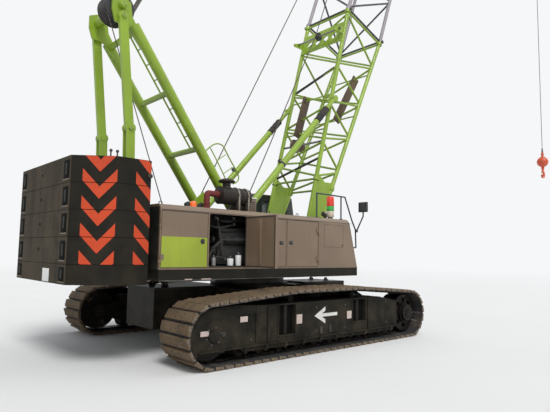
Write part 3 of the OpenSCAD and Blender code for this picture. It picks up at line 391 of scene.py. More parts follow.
nodeFinish = {
    "charcoal": "car_body car_body_weights deck",
    "frame": "track_frames",
    "shoes": "track_right track_left",
    "wheels": "drive_sprockets idler_wheels",
    "housing": "right_housing left_housing cab_door door_right_1 door_right_2 door_right_3 door_right_4 "
               "door_left_1 door_left_2",
    "castIron": "engine air_filter",
    "slab": "counterweight_base counterweight_slabs",
    "lime": "gantry_front_legs gantry_rear_legs backstop_tubes boom_base",
    "rodEnd": "backstop_rods",
    "redLens": "signal_lamps",
    "railing": "handrails",
    "plastic": "mirrors cab_seat cab_console",
    "cabShell": "cab",
    "glass": "cab_glass cab_door_glass",
    "darkSteel": "slewing_ring front_drum rear_drum luffing_drum",
    "steel": "boom_pendants",
    "sheave": "gantry_sheaves tip_sheaves",
    "lattice": "boom_insert_1 boom_insert_2 boom_insert_3 boom_tip",
    "rope": "rope_upper rope_lower",
    "hook": "ball_weight hook",
}
for finishName, nodeNames in nodeFinish.items():
    for nodeName in nodeNames.split():
        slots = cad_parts[nodeName].data.materials
        slots.clear()
        slots.append(finishes[finishName])


# making and placing
def selectOnly(*pieces):
    bpy.ops.object.select_all(action="DESELECT")
    for piece in pieces:
        piece.select_set(True)
    bpy.context.view_layer.objects.active = pieces[0]


def applied(piece):
    selectOnly(piece)
    bpy.ops.object.transform_apply(location=True, rotation=True, scale=True)
    return piece


def editing(piece, work, pick="ALL"):
    # runs edit-mode operators on a piece
    selectOnly(piece)
    bpy.ops.object.mode_set(mode="EDIT")
    bpy.ops.mesh.select_mode(type="FACE")
    bpy.ops.mesh.select_all(action="SELECT" if pick == "ALL" else "DESELECT")
    work()
    bpy.ops.object.mode_set(mode="OBJECT")
    return piece


def bevelled(piece, offset, segments=2):
    return editing(piece, lambda: bpy.ops.mesh.bevel(offset=offset, segments=segments, affect="EDGES"))


def extruded(piece, shift):
    return editing(piece, lambda: bpy.ops.mesh.extrude_region_move(TRANSFORM_OT_translate={"value": shift}))


def pickFaces(piece, test):
    # selects the faces for which test(centre, normal) holds, inside edit mode
    mesh = bmesh.from_edit_mesh(piece.data)
    for face in mesh.faces:
        face.select_set(test(face.calc_center_median(), face.normal))
    bmesh.update_edit_mesh(piece.data)


def primitive(add, **form):
    bpy.ops.object.select_all(action="DESELECT")
    add(**form)
    return applied(bpy.context.object)


def block(low, high, bevel=0.0, segments=2):
    low, high = Vector(low), Vector(high)
    piece = primitive(bpy.ops.mesh.primitive_cube_add, size=1, location=(low + high) / 2, scale=high - low)
    return bevelled(piece, bevel, segments) if bevel else piece


def roundBar(start, end, radius, sides=20, bevel=0.0, top=None):
    # a cylinder or taper from start to end
    start, end = Vector(start), Vector(end)
    way = end - start
    piece = primitive(bpy.ops.mesh.primitive_cone_add, vertices=sides, radius1=radius,
        radius2=radius if top is None else top, depth=way.length, location=(start + end) / 2,
        rotation=way.to_track_quat("Z", "Y").to_euler())
    if bevel:
        def rims():
            pickFaces(piece, lambda centre, normal: abs(normal.dot(way.normalized())) > 0.9)
            bpy.ops.mesh.region_to_loop()
            bpy.ops.mesh.bevel(offset=bevel, segments=2, affect="EDGES")
        editing(piece, rims, "NONE")
    return piece


def ball(centre, radius, rings=12, flatten=(1, 1, 1)):
    return primitive(bpy.ops.mesh.primitive_uv_sphere_add, segments=rings * 2, ring_count=rings, radius=radius,
        location=centre, scale=flatten)


def tube(points, radius, sides=8, smooth=True, closed=False):
    # a round tube along points, made as a curve with a bevel and turned into a mesh
    data = bpy.data.curves.new("route", "CURVE")
    data.dimensions = "3D"
    data.bevel_depth, data.bevel_resolution = radius, max(0, sides // 4 - 1)
    data.use_fill_caps = True
    spline = data.splines.new("NURBS" if smooth else "POLY")
    spline.points.add(len(points) - 1)
    for target, place in zip(spline.points, points):
        target.co = (*place, 1.0)
    if smooth:
        spline.use_endpoint_u = True
        spline.order_u = min(4, len(points))
        spline.resolution_u = 6
    spline.use_cyclic_u = closed
    piece = bpy.data.objects.new("route", data)
    bpy.context.scene.collection.objects.link(piece)
    selectOnly(piece)
    bpy.ops.object.convert(target="MESH")
    return bpy.context.object


def copied(piece, matrix):
    twin = piece.copy()
    twin.data = piece.data.copy()
    bpy.context.scene.collection.objects.link(twin)
    twin.matrix_world = matrix
    return twin


def moved(piece, place, angle=0.0, axis="Y"):
    # turned about an axis through the origin, then set at its place
    piece.matrix_world = Matrix.Translation(place) @ Matrix.Rotation(angle, 4, axis)
    return applied(piece)


def outwards(piece):
    return editing(piece, lambda: bpy.ops.mesh.normals_make_consistent(inside=False))


def mirrored(piece, alone=False):
    # the same piece on the other side, its faces turned right again; alone leaves none on this side
    twin = outwards(applied(copied(piece, Matrix.Scale(-1, 4, (0, 1, 0)))))
    if alone:
        bpy.data.objects.remove(piece)
    return twin


def joined(pieces):
    selectOnly(*pieces)
    bpy.ops.object.join()
    return applied(bpy.context.object)


def modified(piece, kind, **settings):
    selectOnly(piece)
    bpy.ops.object.modifier_add(type=kind)
    for key, value in settings.items():
        setattr(piece.modifiers[-1], key, value)
    bpy.ops.object.modifier_apply(modifier=piece.modifiers[-1].name)
    return piece


def ready(name, pieces, finish, body, smooth=35):
    # joins, names, paints and mounts a finished piece
    piece = joined(pieces) if isinstance(pieces, list) else applied(pieces)
    piece.name = piece.data.name = name
    selectOnly(piece)
    if smooth:
        bpy.ops.object.shade_smooth_by_angle(angle=radians(smooth))
    if finish:
        piece.data.materials.clear()
        piece.data.materials.append(finishes[finish])
    if body:
        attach(piece, body)
    return piece


def painted(piece, finish):
    # gives one part its finish before it is joined with others
    piece.data.materials.clear()
    piece.data.materials.append(finishes[finish])
    return piece


class Kit(list):
    # painted parts that are joined later
    def add(self, finish, piece):
        list.append(self, painted(piece, finish))

    def block(self, finish, *form, **more):
        self.add(finish, block(*form, **more))

    def bar(self, finish, *form, **more):
        self.add(finish, roundBar(*form, **more))

    def pin(self, finish, x, z, y0, y1, *form, **more):
        # a bar across the machine
        self.bar(finish, (x, y0, z), (x, y1, z), *form, **more)

    def post(self, finish, x, y, z0, z1, *form, **more):
        self.bar(finish, (x, y, z0), (x, y, z1), *form, **more)

    def tube(self, finish, *form, **more):
        self.add(finish, tube(*form, **more))

    def bolts(self, finish, count, first, reach, low, high, radius, bevel=0.0):
        # a ring of hexagon heads about the line from low to high
        upright = low[2] != high[2]
        for i in range(count):
            t = radians(first + 360 / count * i)
            a, b = reach * cos(t), reach * sin(t)
            shift = Vector((a, b, 0) if upright else (a, 0, b))
            self.bar(finish, Vector(low) + shift, Vector(high) + shift, radius, 6, bevel)


# camera, light, floor
view = {
    "place": (-3.735, -4.562, 0.934),
    "right": (0.74088234, -0.67142578, 0.01675652),
    "down": (0.0747557, 0.05764372, -0.99553442),
    "ahead": (0.66746157, 0.73882652, 0.09290012),
    "lens": 32.73,
}
bpy.ops.object.camera_add(location=view["place"])
camera = bpy.context.object
axes = [Vector(view["right"]), -Vector(view["down"]), -Vector(view["ahead"])]
camera.matrix_world = Matrix.Translation(view["place"]) @ Matrix((axes[0], axes[1], axes[2])).transposed().to_4x4()
camera.data.lens, camera.data.sensor_width = view["lens"], 36.0
camera.data.clip_end = 400
bpy.context.scene.camera = camera

lamps = {"key": ((-0.35, -0.75, 1.0), 2.1, 22), "fill": ((0.9, -0.2, 0.7), 0.5, 60)}
for lampName, (direction, energy, softness) in lamps.items():
    bpy.ops.object.light_add(type="SUN", rotation=Vector(direction).to_track_quat("Z", "Y").to_euler())
    lamp = bpy.context.object
    lamp.name, lamp.data.energy, lamp.data.angle = lampName, energy, radians(softness)

world = bpy.context.scene.world or bpy.data.worlds.new("studio")
bpy.context.scene.world = world
world.use_nodes = True
world.node_tree.nodes.clear()


def skyNode(kind, settings, *sockets):
    # one node of the world, its sockets given as values or as other nodes' outputs
    made = world.node_tree.nodes.new("ShaderNode" + kind)
    for key, value in settings.items():
        setattr(made, key, value)
    for socket, value in zip(made.inputs, sockets):
        if isinstance(value, bpy.types.NodeSocket):
            world.node_tree.links.new(value, socket)
        else:
            socket.default_value = value
    return made


# lit by a soft sky, but seen and mirrored as the plain backdrop
rays = skyNode("LightPath", {}).outputs
seen = skyNode("Math", {"operation": "MAXIMUM"}, rays["Is Camera Ray"], rays["Is Glossy Ray"])
seen = skyNode("Math", {"operation": "MAXIMUM"}, seen.outputs[0], rays["Is Transmission Ray"])
lit = skyNode("Background", {}, (0.93, 0.96, 1.0, 1.0), 0.55)
backdrop = skyNode("Background", {}, (0.92, 0.93, 0.94, 1.0), 1.0)
sky = skyNode("MixShader", {}, seen.outputs[0], lit.outputs[0], backdrop.outputs[0])
skyNode("OutputWorld", {}, sky.outputs[0])

floor = primitive(bpy.ops.mesh.primitive_circle_add, vertices=96, radius=90, fill_type="NGON", location=(0, 0, -0.001))
floor.name = "floor"
ground = Finish("paleFloor", (0.74, 0.74, 0.73), 0.85)
ground.set("Base Color", ground.mix(ground.noise(0.6, 4), (0.72, 0.72, 0.71), (0.77, 0.77, 0.76)))
far = ground.node("VectorMath", {"operation": "LENGTH"}, {0: ground.place()}, output=1)
glow = ground.node("Emission", {}, {"Color": (0.92, 0.93, 0.94), "Strength": 1.0})
surface = Value(ground, ground.shader.outputs[0])
blendOut = ground.node("MixShader", {}, {0: ground.ramp(far, 9.0, 34.0), 1: surface, 2: glow})
ground.tree.links.new(blendOut.link, ground.tree.nodes["Material Output"].inputs[0])
floor.data.materials.append(ground.material)
bpy.context.scene.view_settings.view_transform = "Standard"
print("camera, light and floor set")

# tracks: one muddy shoe with its link, copied round the loop of the CAD's track
trackLoop = {"axle": 1.375, "carrier": 0.45, "low": 0.265, "rise": 0.067, "radius": 0.239, "shoes": 72,
    "middle": -1.075}
shoeShape = {"half": 0.212, "front": -0.0425, "rear": 0.04, "inner": -0.003, "outer": -0.02, "grouser": 2.1,
    "plate": (0.0478, 0.208), "link": (0.044, 0.065, 0.0255), "bolts": (0.05, 0.019, 0.0085)}
mudOnTracks = {"lumps": 0.0065, "lumpSize": 0.045, "crumbs": 0.0035, "crumbSize": 0.014}


def lumpTexture(name, size):
    texture = bpy.data.textures.new(name, "CLOUDS")
    texture.noise_scale = size
    return texture


def muddied(piece, lumps, lumpSize, crumbs, crumbSize):
    modified(piece, "DISPLACE", texture=lumpTexture("mudLumps", lumpSize), strength=lumps, mid_level=0.55)
    modified(piece, "DISPLACE", texture=lumpTexture("mudCrumbs", crumbSize), strength=crumbs, mid_level=0.55)
    return piece


def loopPlaces():
    # the middle of each shoe on the pitch line, as a matrix: X along the chain, Z towards its inside
    axle, carrier, low, rise, radius = (trackLoop[key] for key in ("axle", "carrier", "low", "rise", "radius"))
    corners = [Vector((-axle, low)), Vector((axle, low)), Vector((carrier, low + rise)), Vector((-carrier, low + rise))]
    slope = atan(rise / (axle - carrier))
    headings = (0, pi - slope, pi, pi + slope)
    turns = (pi - slope, slope, slope, pi - slope)
    runs = [(corners[(i + 1) % 4] - corners[i]).length for i in range(4)]
    step = (sum(runs) + 2 * pi * radius) / trackLoop["shoes"]
    places = []
    for k in range(trackLoop["shoes"]):
        s, i = (k + 0.5) * step, 0
        while s > runs[i] + radius * turns[i]:
            s -= runs[i] + radius * turns[i]
            i += 1
        bent = max(0.0, s - runs[i]) / radius
        heading = headings[i] + bent
        spot = corners[i] + min(s, runs[i]) * Vector((cos(headings[i]), sin(headings[i])))
        spot += radius * Vector((sin(heading), -cos(heading)))
        places.append(Matrix.Translation((spot.x, trackLoop["middle"], spot.y)) @ Matrix.Rotation(-heading, 4, "Y"))
    return places


def cutUp(piece):
    return editing(piece, lambda: bpy.ops.mesh.subdivide(number_cuts=3))


def trackShoe():
    form = shoeShape
    pad = block((form["front"], -form["half"], form["outer"]), (form["rear"], form["half"], form["inner"]))

    def grouser():
        pickFaces(pad, lambda centre, normal: normal.x < -0.9)
        bpy.ops.transform.resize(value=(1, 1, form["grouser"]))
    editing(pad, grouser, "NONE")
    cutUp(bevelled(pad, 0.003, 1))
    along, across = form["plate"]
    plate = cutUp(block((-along, -across, -0.006), (along, across, 0.0075)))
    reach, half, deep = form["link"]
    link = block((-reach, -half, 0.006), (reach, half, deep), 0.004, 1)
    parts = Kit()
    parts.add("shoes", pad)
    parts.add("rubber", plate)
    parts.add("wheels", link)
    side, fore, radius = form["bolts"]
    for x in (-fore, fore):
        for y in (-side, side):
            parts.post("rubber", x, y, -0.015, -0.0275 if x < 0 else -0.0235, radius, 8)
    return joined(parts)


shoe = trackShoe()
chain = joined([copied(shoe, place) for place in loopPlaces()])
bpy.data.objects.remove(shoe)
muddied(chain, **mudOnTracks)
farChain = mirrored(chain)
ready("muddy_track_right", chain, None, "undercarriage", 40)
ready("muddy_track_left", farChain, None, "undercarriage", 40)
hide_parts("track_right")
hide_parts("track_left")
print("tracks muddied")

# counterweight: chevrons cut at the slab seams
slabs = {"base": 0.8174, "height": 0.213, "gap": 0.0004, "count": 4, "rear": -2.335, "rearSide": 0.625}
chevrons = {"tips": (0.689, 0.902, 1.115, 1.329, 1.542), "thick": 0.096, "drop": 0.142, "half": 0.133, "seam": 0.0025,
    "proud": 0.0012, "corner": ((-2.335, -0.625), (-2.05, -0.85)), "centre": 0.229, "sideStart": -1.893}


def chevronArm(s0, s1, outer, inner, thick, low, high):
    # one arm, flat in (s, z), bisected out of a rectangle; None where nothing is left
    if max(outer, inner) < low + 0.004 or min(outer, inner) - thick > high - 0.004:
        return None
    piece = primitive(bpy.ops.mesh.primitive_cube_add, size=1,
        location=((s0 + s1) / 2, (low + high) / 2, chevrons["proud"] / 2),
        scale=(abs(s1 - s0), high - low, chevrons["proud"]))
    across = Vector((inner - outer, -(s1 - s0), 0)).normalized() * (1 if s1 > s0 else -1)

    def trim():
        bpy.ops.mesh.bisect(plane_co=(s0, outer, 0), plane_no=-across, use_fill=True, clear_outer=True)
        bpy.ops.mesh.select_all(action="SELECT")
        bpy.ops.mesh.bisect(plane_co=(s0, outer - thick, 0), plane_no=-across, use_fill=True, clear_inner=True)
    editing(piece, trim)
    if len(piece.data.polygons) < 5:
        bpy.data.objects.remove(piece)
        return None
    return piece


def wallMatrix(start, along, outward):
    # places (s, z, proud) of a wall in the row frame
    axes = Matrix((Vector(along).normalized(), Vector((0, 0, 1)), Vector(outward).normalized())).transposed()
    return Matrix.Translation((start[0], start[1], 0)) @ axes.to_4x4()


start, end = chevrons["corner"]
cornerWall = wallMatrix(start, (end[0] - start[0], end[1] - start[1], 0), (-0.225, -0.285, 0))
sideWall = wallMatrix((0, -0.85), (1, 0, 0), (0, -1, 0))
arms = []
for tip in chevrons["tips"]:
    outer, inner = tip + chevrons["thick"] + chevrons["drop"], tip + chevrons["thick"]
    for layer in range(slabs["count"]):
        low = slabs["base"] + layer * (slabs["height"] + slabs["gap"]) + chevrons["seam"]
        high = low + slabs["height"] - 2 * chevrons["seam"]
        middle, half = chevrons["centre"], chevrons["half"]
        for wall, s0, s1 in ((cornerWall, middle - half, middle), (cornerWall, middle + half, middle),
                (sideWall, chevrons["sideStart"], chevrons["sideStart"] + half)):
            arm = chevronArm(s0, s1, outer, inner, chevrons["thick"], low, high)
            if arm:
                arm.matrix_world = wall
                arms.append(applied(arm))
rightChevrons = joined(arms)
leftChevrons = mirrored(rightChevrons)
ready("chevrons_right", rightChevrons, "orange", "upper", 0)
ready("chevrons_left", leftChevrons, "orange", "upper", 0)

# pile: forklift pockets, plugs, dark joints, blank plate, lifting lugs
rearParts = Kit()
pocket = {"in": 0.024, "out": 0.14}
plugSide = 0.03
for layer in range(slabs["count"] + 1):
    low = 0.66 if layer == 0 else slabs["base"] + (layer - 1) * 0.2134
    tall = 0.157 if layer == 0 else 0.213
    x, middle = slabs["rear"], low + tall / 2
    for side in (-1, 1):
        # forklift pocket: a black plate of painted shade over its mouth, the keeper inside it, a worn lip below
        near, far = sorted((side * (slabs["rearSide"] - pocket["in"]), side * (slabs["rearSide"] - pocket["out"])))
        rearParts.block("shadeAndJoints", (x - 0.0015, near, middle - tall * 0.36), (x + 0.004, far, middle + tall * 0.36),
            0.0006)
        rearParts.block("keeper", (x - 0.004, (near + far) / 2 - 0.02, middle - tall * 0.2),
            (x - 0.001, (near + far) / 2 + 0.014, middle + tall * 0.24), 0.001)
        rearParts.block("lip", (x - 0.004, near - 0.004, middle - tall * 0.4),
            (x + 0.006, far + 0.004, middle - tall * 0.355), 0.001)
    if layer:
        y, z = plugSide, middle + 0.01
        # a round plug with a black hexagon: painted shade of its socket
        rearParts.bar("slab", (x + 0.004, y, z), (x - 0.003, y, z), 0.02, 24, 0.002)
        rearParts.bar("shadeAndJoints", (x, y, z), (x - 0.006, y, z), 0.011, 6, 0.0015)
        # the joint below each slab, dark all round
        line = slabs["base"] + (layer - 1) * (slabs["height"] + slabs["gap"])
        rearParts.block("shadeAndJoints", (x - 0.0006, -0.624, line - 0.002), (x + 0.002, 0.624, line + 0.002))
        for wall, start, end in ((cornerWall, 0.0, 0.363), (sideWall, -2.05, -1.765)):
            joint = block((start, line - 0.002, -0.002), (end, line + 0.002, 0.0006))
            joint.matrix_world = wall
            joint = applied(joint)
            rearParts.add("shadeAndJoints", joint)
            rearParts.add("shadeAndJoints", mirrored(joint))
rearParts.block("white", (slabs["rear"] - 0.002, -0.265, 0.668), (slabs["rear"] + 0.002, -0.108, 0.775), 0.0015)
for x, y in ((-1.97, -0.22), (-1.97, 0.22), (-1.84, -0.45), (-1.84, 0.45)):
    # lifting lug: a plate with an eye and a shackle pin on top of the pile
    rearParts.block("darkSteel", (x - 0.01, y - 0.035, 1.67), (x + 0.01, y + 0.035, 1.735), 0.006)
    rearParts.bar("steel", (x - 0.014, y, 1.712), (x + 0.014, y, 1.712), 0.015, 16, 0.002)
    rearParts.block("darkSteel", (x - 0.035, y - 0.055, 1.6695), (x + 0.035, y + 0.055, 1.676), 0.002)
ready("counterweight_fittings", rearParts, None, "upper")
print("counterweight dressed")

# coloured fields on the right doors
wallY = -0.85
decals = {
    "triangle": ((-0.683, 1.05), (-0.683, 0.797), (-0.562, 0.797)),
    "band": ((-0.676, 1.058), (-0.503, 1.058), (-0.387, 0.797), (-0.556, 0.797)),
    "proud": 0.0012,
}


def flatField(corners, y, thickness, outward=-1):
    # a thin field on a side wall, its outline given as (x, z)
    piece = primitive(bpy.ops.mesh.primitive_circle_add, vertices=len(corners), radius=1, fill_type="NGON")
    for point, (x, z) in zip(piece.data.vertices, corners):
        point.co = (x, y, z)
    return outwards(extruded(piece, (0, outward * thickness, 0)))


triangle = painted(flatField(decals["triangle"], wallY, decals["proud"]), "limePatch")
band = painted(flatField(decals["band"], wallY, decals["proud"] * 1.3), "charcoal")
ready("door3_fields", [triangle, band], None, "door_right_3", 0)
field = flatField(((-1.6435, 1.055), (-1.6435, 0.797), (-1.1865, 0.797), (-1.1865, 1.055)), wallY, 0.0012)
ready("door1_field", field, "limePatch", "door_right_1", 0)

# seams, hatch and latches of the housings
housingTrim = {"seamWide": 0.0035, "proud": 0.0006, "roofSeam": 1.281, "hatch": (0.357, 0.673, 1.005, 1.252),
    "rightEnds": (-1.645, 0.855), "leftEnds": (-1.645, 0.385)}


def seam(x0, z0, x1, z1, wide=housingTrim["seamWide"]):
    # a dark joint line on a side wall
    half = wide / 2
    return block((x0 - half, wallY - housingTrim["proud"], z0 - half), (x1 + half, wallY + 0.001, z1 + half))


x0, x1, z0, z1 = housingTrim["hatch"]
rear, front = housingTrim["rightEnds"]
high = housingTrim["roofSeam"]
seams = [seam(*line) for line in (
    (rear, high, front, high), (-0.7, 0.79, -0.7, high, 0.006), (0.262, 0.79, 0.262, high),
    (x0, z0, x1, z0), (x0, z1, x1, z1), (x0, z0, x0, z1), (x1, z0, x1, z1))]
keyHole = roundBar((x1 - 0.015, wallY + 0.001, 1.03), (x1 - 0.015, wallY - 0.003, 1.03), 0.009, 20, 0.001)
ready("right_housing_seams", seams + [keyHole], "plastic", "upper", 0)
rear, front = housingTrim["leftEnds"]
leftSeam = mirrored(seam(rear, high, front, high), alone=True)
ready("left_housing_seams", leftSeam, "plastic", "upper", 0)

latchShape = {"wide": 0.052, "tall": 0.036, "depth": 0.004}


def latch(x, z, roundRim=False):
    # flush dish with a sprung paddle and a key barrel
    w, h, d = latchShape["wide"] / 2, latchShape["tall"] / 2, latchShape["depth"]
    if roundRim:
        dish = roundBar((x, wallY + 0.001, z), (x, wallY - d, z), w * 0.92, 28, 0.0018)
    else:
        dish = block((x - w, wallY - d, z - h), (x + w, wallY + 0.001, z + h), 0.0028)
    paddle = block((x - w * 0.62, wallY - d - 0.004, z - h * 0.55), (x + w * 0.35, wallY - d + 0.001, z + h * 0.55),
        0.0022)
    barrel = roundBar((x + w * 0.62, wallY - d + 0.001, z), (x + w * 0.62, wallY - d - 0.003, z), 0.005, 16, 0.0008)
    return [painted(dish, "plastic"), painted(paddle, "darkSteel"), painted(barrel, "steel")]


def doorSeal(x0, x1, z0=0.795, z1=1.27):
    # rubber profile along the inner edge of a door
    a, b, c, d = x0 + 0.006, x1 - 0.006, z0 + 0.006, z1 - 0.006
    edges = ((a, b, c, c + 0.008), (a, b, d - 0.008, d), (a, a + 0.008, c, d), (b - 0.008, b, c, d))
    seal = [block((left, -0.8255, low), (right, -0.8215, high)) for left, right, low, high in edges]
    rib = block(((x0 + x1) / 2 - 0.02, -0.8265, z0 + 0.03), ((x0 + x1) / 2 + 0.02, -0.818, z1 - 0.03), 0.003)
    return [painted(s, "rubber") for s in seal] + [painted(rib, "housing")]


doors = {
    "door_right_1": (-1.645, -1.185, -1.236, 1.022, True), "door_right_2": (-1.16, -0.735, -1.115, 1.034, False),
    "door_right_3": (-0.685, -0.223, -0.283, 1.034, False), "door_right_4": (-0.203, 0.253, -0.149, 1.039, False),
    "door_left_1": (-1.555, -1.065, -1.11, 1.034, False), "door_left_2": (-1.035, -0.545, -0.59, 1.034, False),
}
hinge = Vector((-0.73, -0.858, 0))
for doorName, (x0, x1, lx, lz, roundRim) in doors.items():
    parts = latch(lx, lz, roundRim) + doorSeal(x0, x1)
    piece = joined(parts)
    if doorName == "door_right_2":
        # this one stands open
        piece = moved(moved(piece, -hinge), hinge, pi / 2, "Z")
    if "left" in doorName:
        piece = mirrored(piece, alone=True)
    ready(doorName + "_fittings", piece, None, doorName)

# louvres low on the left doors, where the engine breathes
louvres = {"door_left_1": (-1.5, -1.12), "door_left_2": (-0.98, -0.6), "rows": [0.86 + i * 0.018 for i in range(9)]}
for doorName in ("door_left_1", "door_left_2"):
    x0, x1 = louvres[doorName]
    slats = [block((x0, 0.848, z), (x1, 0.855, z + 0.009), 0.0018) for z in louvres["rows"]]
    ready(doorName + "_louvres", slats, "plastic", doorName, 0)
print("housing dressed")

# engine: block, head, cover, six ports with rusty stubs, a pipe along them, pulleys, in the place of its plain solid
engineAt = {"low": (-0.99, -0.735, 0.815), "high": (-0.32, -0.585, 1.0), "headTop": 1.12}
(ex0, ey0, ez0), (ex1, ey1, ez1) = engineAt["low"], engineAt["high"]
engine = Kit()
engine.block("castIron", (ex0, ey0, ez0), (ex1, ey1, ez1), 0.012, 3)
engine.block("castIron", (ex0 + 0.03, ey0 + 0.015, ez1 - 0.002), (ex1 - 0.02, ey1 - 0.02, engineAt["headTop"]), 0.01, 3)
engine.block("darkSteel", (ex0 + 0.05, ey0 + 0.03, engineAt["headTop"] - 0.002), (ex1 - 0.04, ey1 - 0.035, 1.165),
    0.012, 3)
for i in range(6):
    x = ex0 + 0.09 + i * 0.1
    engine.block("castIron", (x, ey0 - 0.012, ez1 + 0.01), (x + 0.055, ey0 + 0.03, ez1 + 0.075), 0.006)
    engine.pin("rust", x + 0.027, ez1 + 0.045, ey0 + 0.018, ey0 - 0.03, 0.014, 16, 0.002)
engine.tube("castIron", [(ex0 + 0.05, ey0 - 0.03, ez1 + 0.045), (ex0 + 0.35, ey0 - 0.032, ez1 + 0.045),
    (ex1 - 0.05, ey0 - 0.03, ez1 + 0.045), (ex1, ey0 + 0.02, ez1 + 0.08)], 0.02, 16)
for x, z, r in ((-1.0, 0.93, 0.055), (-1.0, 1.05, 0.035), (-1.0, 0.86, 0.028)):
    engine.bar("darkSteel", (x + 0.012, -0.655, z), (x - 0.012, -0.655, z), r, 28, 0.003)
ready("engine_detail", engine, None, "upper")
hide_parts("engine")

# service bay: white filters, bracket plates, hoses that run down the doorway
bay = Kit()
canisters = ((-0.883, -0.792, 0.806, 0.078, 0.03), (-0.789, -0.792, 0.806, 0.115, 0.028),
    (-1.072, -0.79, 0.806, 0.085, 0.024))
for i, (x, y, z, tall, r) in enumerate(canisters):
    coat = "white" if i < 2 else "steel"
    bay.post(coat, x, y, z, z + tall * 0.86, r, 32, 0.004)
    bay.post("plastic", x, y, z + tall * 0.85, z + tall, r * 0.8, 32, 0.004)
    bay.post("steel", x, y, z + tall * 0.98, z + tall + 0.012, 0.007, 12)
bay.block("plastic", (-1.15, -0.62, 0.81), (-1.142, -0.54, 1.26), 0.002)
bay.block("plastic", (-1.13, -0.6, 0.81), (-1.02, -0.55, 1.1), 0.006)
hoses = (
    ((-1.09, -0.7, 0.81), (-1.085, -0.755, 0.93), (-1.03, -0.785, 1.02), (-0.93, -0.775, 1.06), (-0.86, -0.74, 1.05)),
    ((-1.12, -0.62, 1.26), (-1.1, -0.72, 1.18), (-1.02, -0.775, 1.14), (-0.92, -0.775, 1.17), (-0.8, -0.735, 1.2)),
    ((-0.98, -0.66, 1.26), (-0.97, -0.76, 1.22), (-0.9, -0.79, 1.21), (-0.83, -0.77, 1.23), (-0.79, -0.7, 1.26)),
    ((-1.07, -0.64, 0.81), (-1.06, -0.74, 0.87), (-1.01, -0.785, 0.9), (-0.95, -0.765, 0.87), (-0.9, -0.735, 0.86)),
    ((-1.0, -0.73, 1.25), (-1.0, -0.78, 1.1), (-0.985, -0.79, 0.98), (-0.96, -0.77, 0.9), (-0.95, -0.74, 0.86)),
)
for i, route in enumerate(hoses):
    bay.tube("rubber", route, 0.012 - 0.0015 * (i % 3), 12)
    for end, inward in ((route[0], route[1]), (route[-1], route[-2])):
        e, n = Vector(end), (Vector(inward) - Vector(end)).normalized()
        bay.bar("steel", e - n * 0.004, e + n * 0.022, 0.0145, 6, 0.001)
ready("service_bay", bay, None, "upper")
print("engine and bay made")

# places in the boom's own frame: along it, across it, towards its rear side
boomJoints = (3.42, 9.42, 15.42, 21.42)
boomMatrix = Matrix.Translation(boomFoot) @ Matrix.Rotation(-radians(boomAngle), 4, "Y")


def inBoom(piece):
    piece.matrix_world = boomMatrix @ piece.matrix_world
    return applied(piece)


def chordBack(along):
    # how far the base's rear chords stand behind its middle
    return 0.06 + 0.315 * min(along, boomJoints[0]) / boomJoints[0]


def outerTangent(first, firstRadius, second, secondRadius):
    # the angle at which the line that touches two circles on their rear side leaves them
    gap = (second[0] - first[0], second[1] - first[1])
    return atan2(gap[1], gap[0]) - asin((firstRadius - secondRadius) / hypot(*gap)) + pi / 2


def arc(centre, radius, begin, finish, steps=10):
    turns = [begin + (finish - begin) * i / steps for i in range(steps + 1)]
    return [(centre[0] + radius * cos(t), centre[1] + radius * sin(t)) for t in turns]


# boom ropes: drum to first guide as a straight span, then over the guides to the tip
hoistRopes = {
    "radius": 0.0065, "idler": (24.08, 0.0, 0.165), "tip": (24.5, -0.165, 0.15), "anchor": (24.24, -0.17),
    "main": {"drum": (-0.241, 0.117, 1.013), "tipSide": -0.045,
             "guides": ((3.045, -0.02, 0.505), (9.54, -0.028, 0.46), (15.54, -0.036, 0.46), (21.3, -0.044, 0.46))},
    "second": {"drum": (-0.861, 0.207, 1.014), "tipSide": 0.045,
               "guides": ((6.42, 0.127, 0.46), (9.54, 0.105, 0.46), (15.54, 0.075, 0.46), (21.3, 0.05, 0.46))},
}
tipX, tipZ, tipRadius = hoistRopes["tip"]
idlerX, idlerZ, idlerRadius = hoistRopes["idler"]
for ropeName in ("main", "second"):
    route = hoistRopes[ropeName]
    side = route["tipSide"]
    first = route["guides"][0]
    lead = roundBar(route["drum"], boomPoint(*first), hoistRopes["radius"], 10)
    ready("hoist_rope_" + ropeName + "_lead", lead, "rope", None)
    tuple(boomPoint(*first))
    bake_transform(lead)
    last = route["guides"][-1]
    turnIn = outerTangent((last[0], last[2]), 0.0, (idlerX, idlerZ), idlerRadius)
    turnOut = outerTangent((idlerX, idlerZ), idlerRadius, (tipX, tipZ), tipRadius)
    rest = arc((idlerX, idlerZ), idlerRadius, turnIn, turnOut, 6)
    hangs = -radians(boomAngle)
    if ropeName == "main":
        rest += arc((tipX, tipZ), tipRadius, turnOut, hangs, 14)
    else:
        ax, az = hoistRopes["anchor"]
        far = hypot(ax - tipX, az - tipZ)
        under = atan2(az - tipZ, ax - tipX) + acos(tipRadius / far)
        rest += arc((tipX, tipZ), tipRadius, turnOut, under, 20) + [(ax + 0.03, az)]
    places = [boomPoint(*g) for g in route["guides"]] + [boomPoint(p[0], side, p[1]) for p in rest]
    ready("hoist_rope_" + ropeName + "_run", tube(places, hoistRopes["radius"], 8, smooth=False), "rope", "boom", 60)

# guide rollers: shaft, grooved sheave, side plates on the rear chords
guideShape = {"core": 0.0435, "rim": 0.055, "wide": 0.03, "shaft": 0.012, "plate": 0.008}


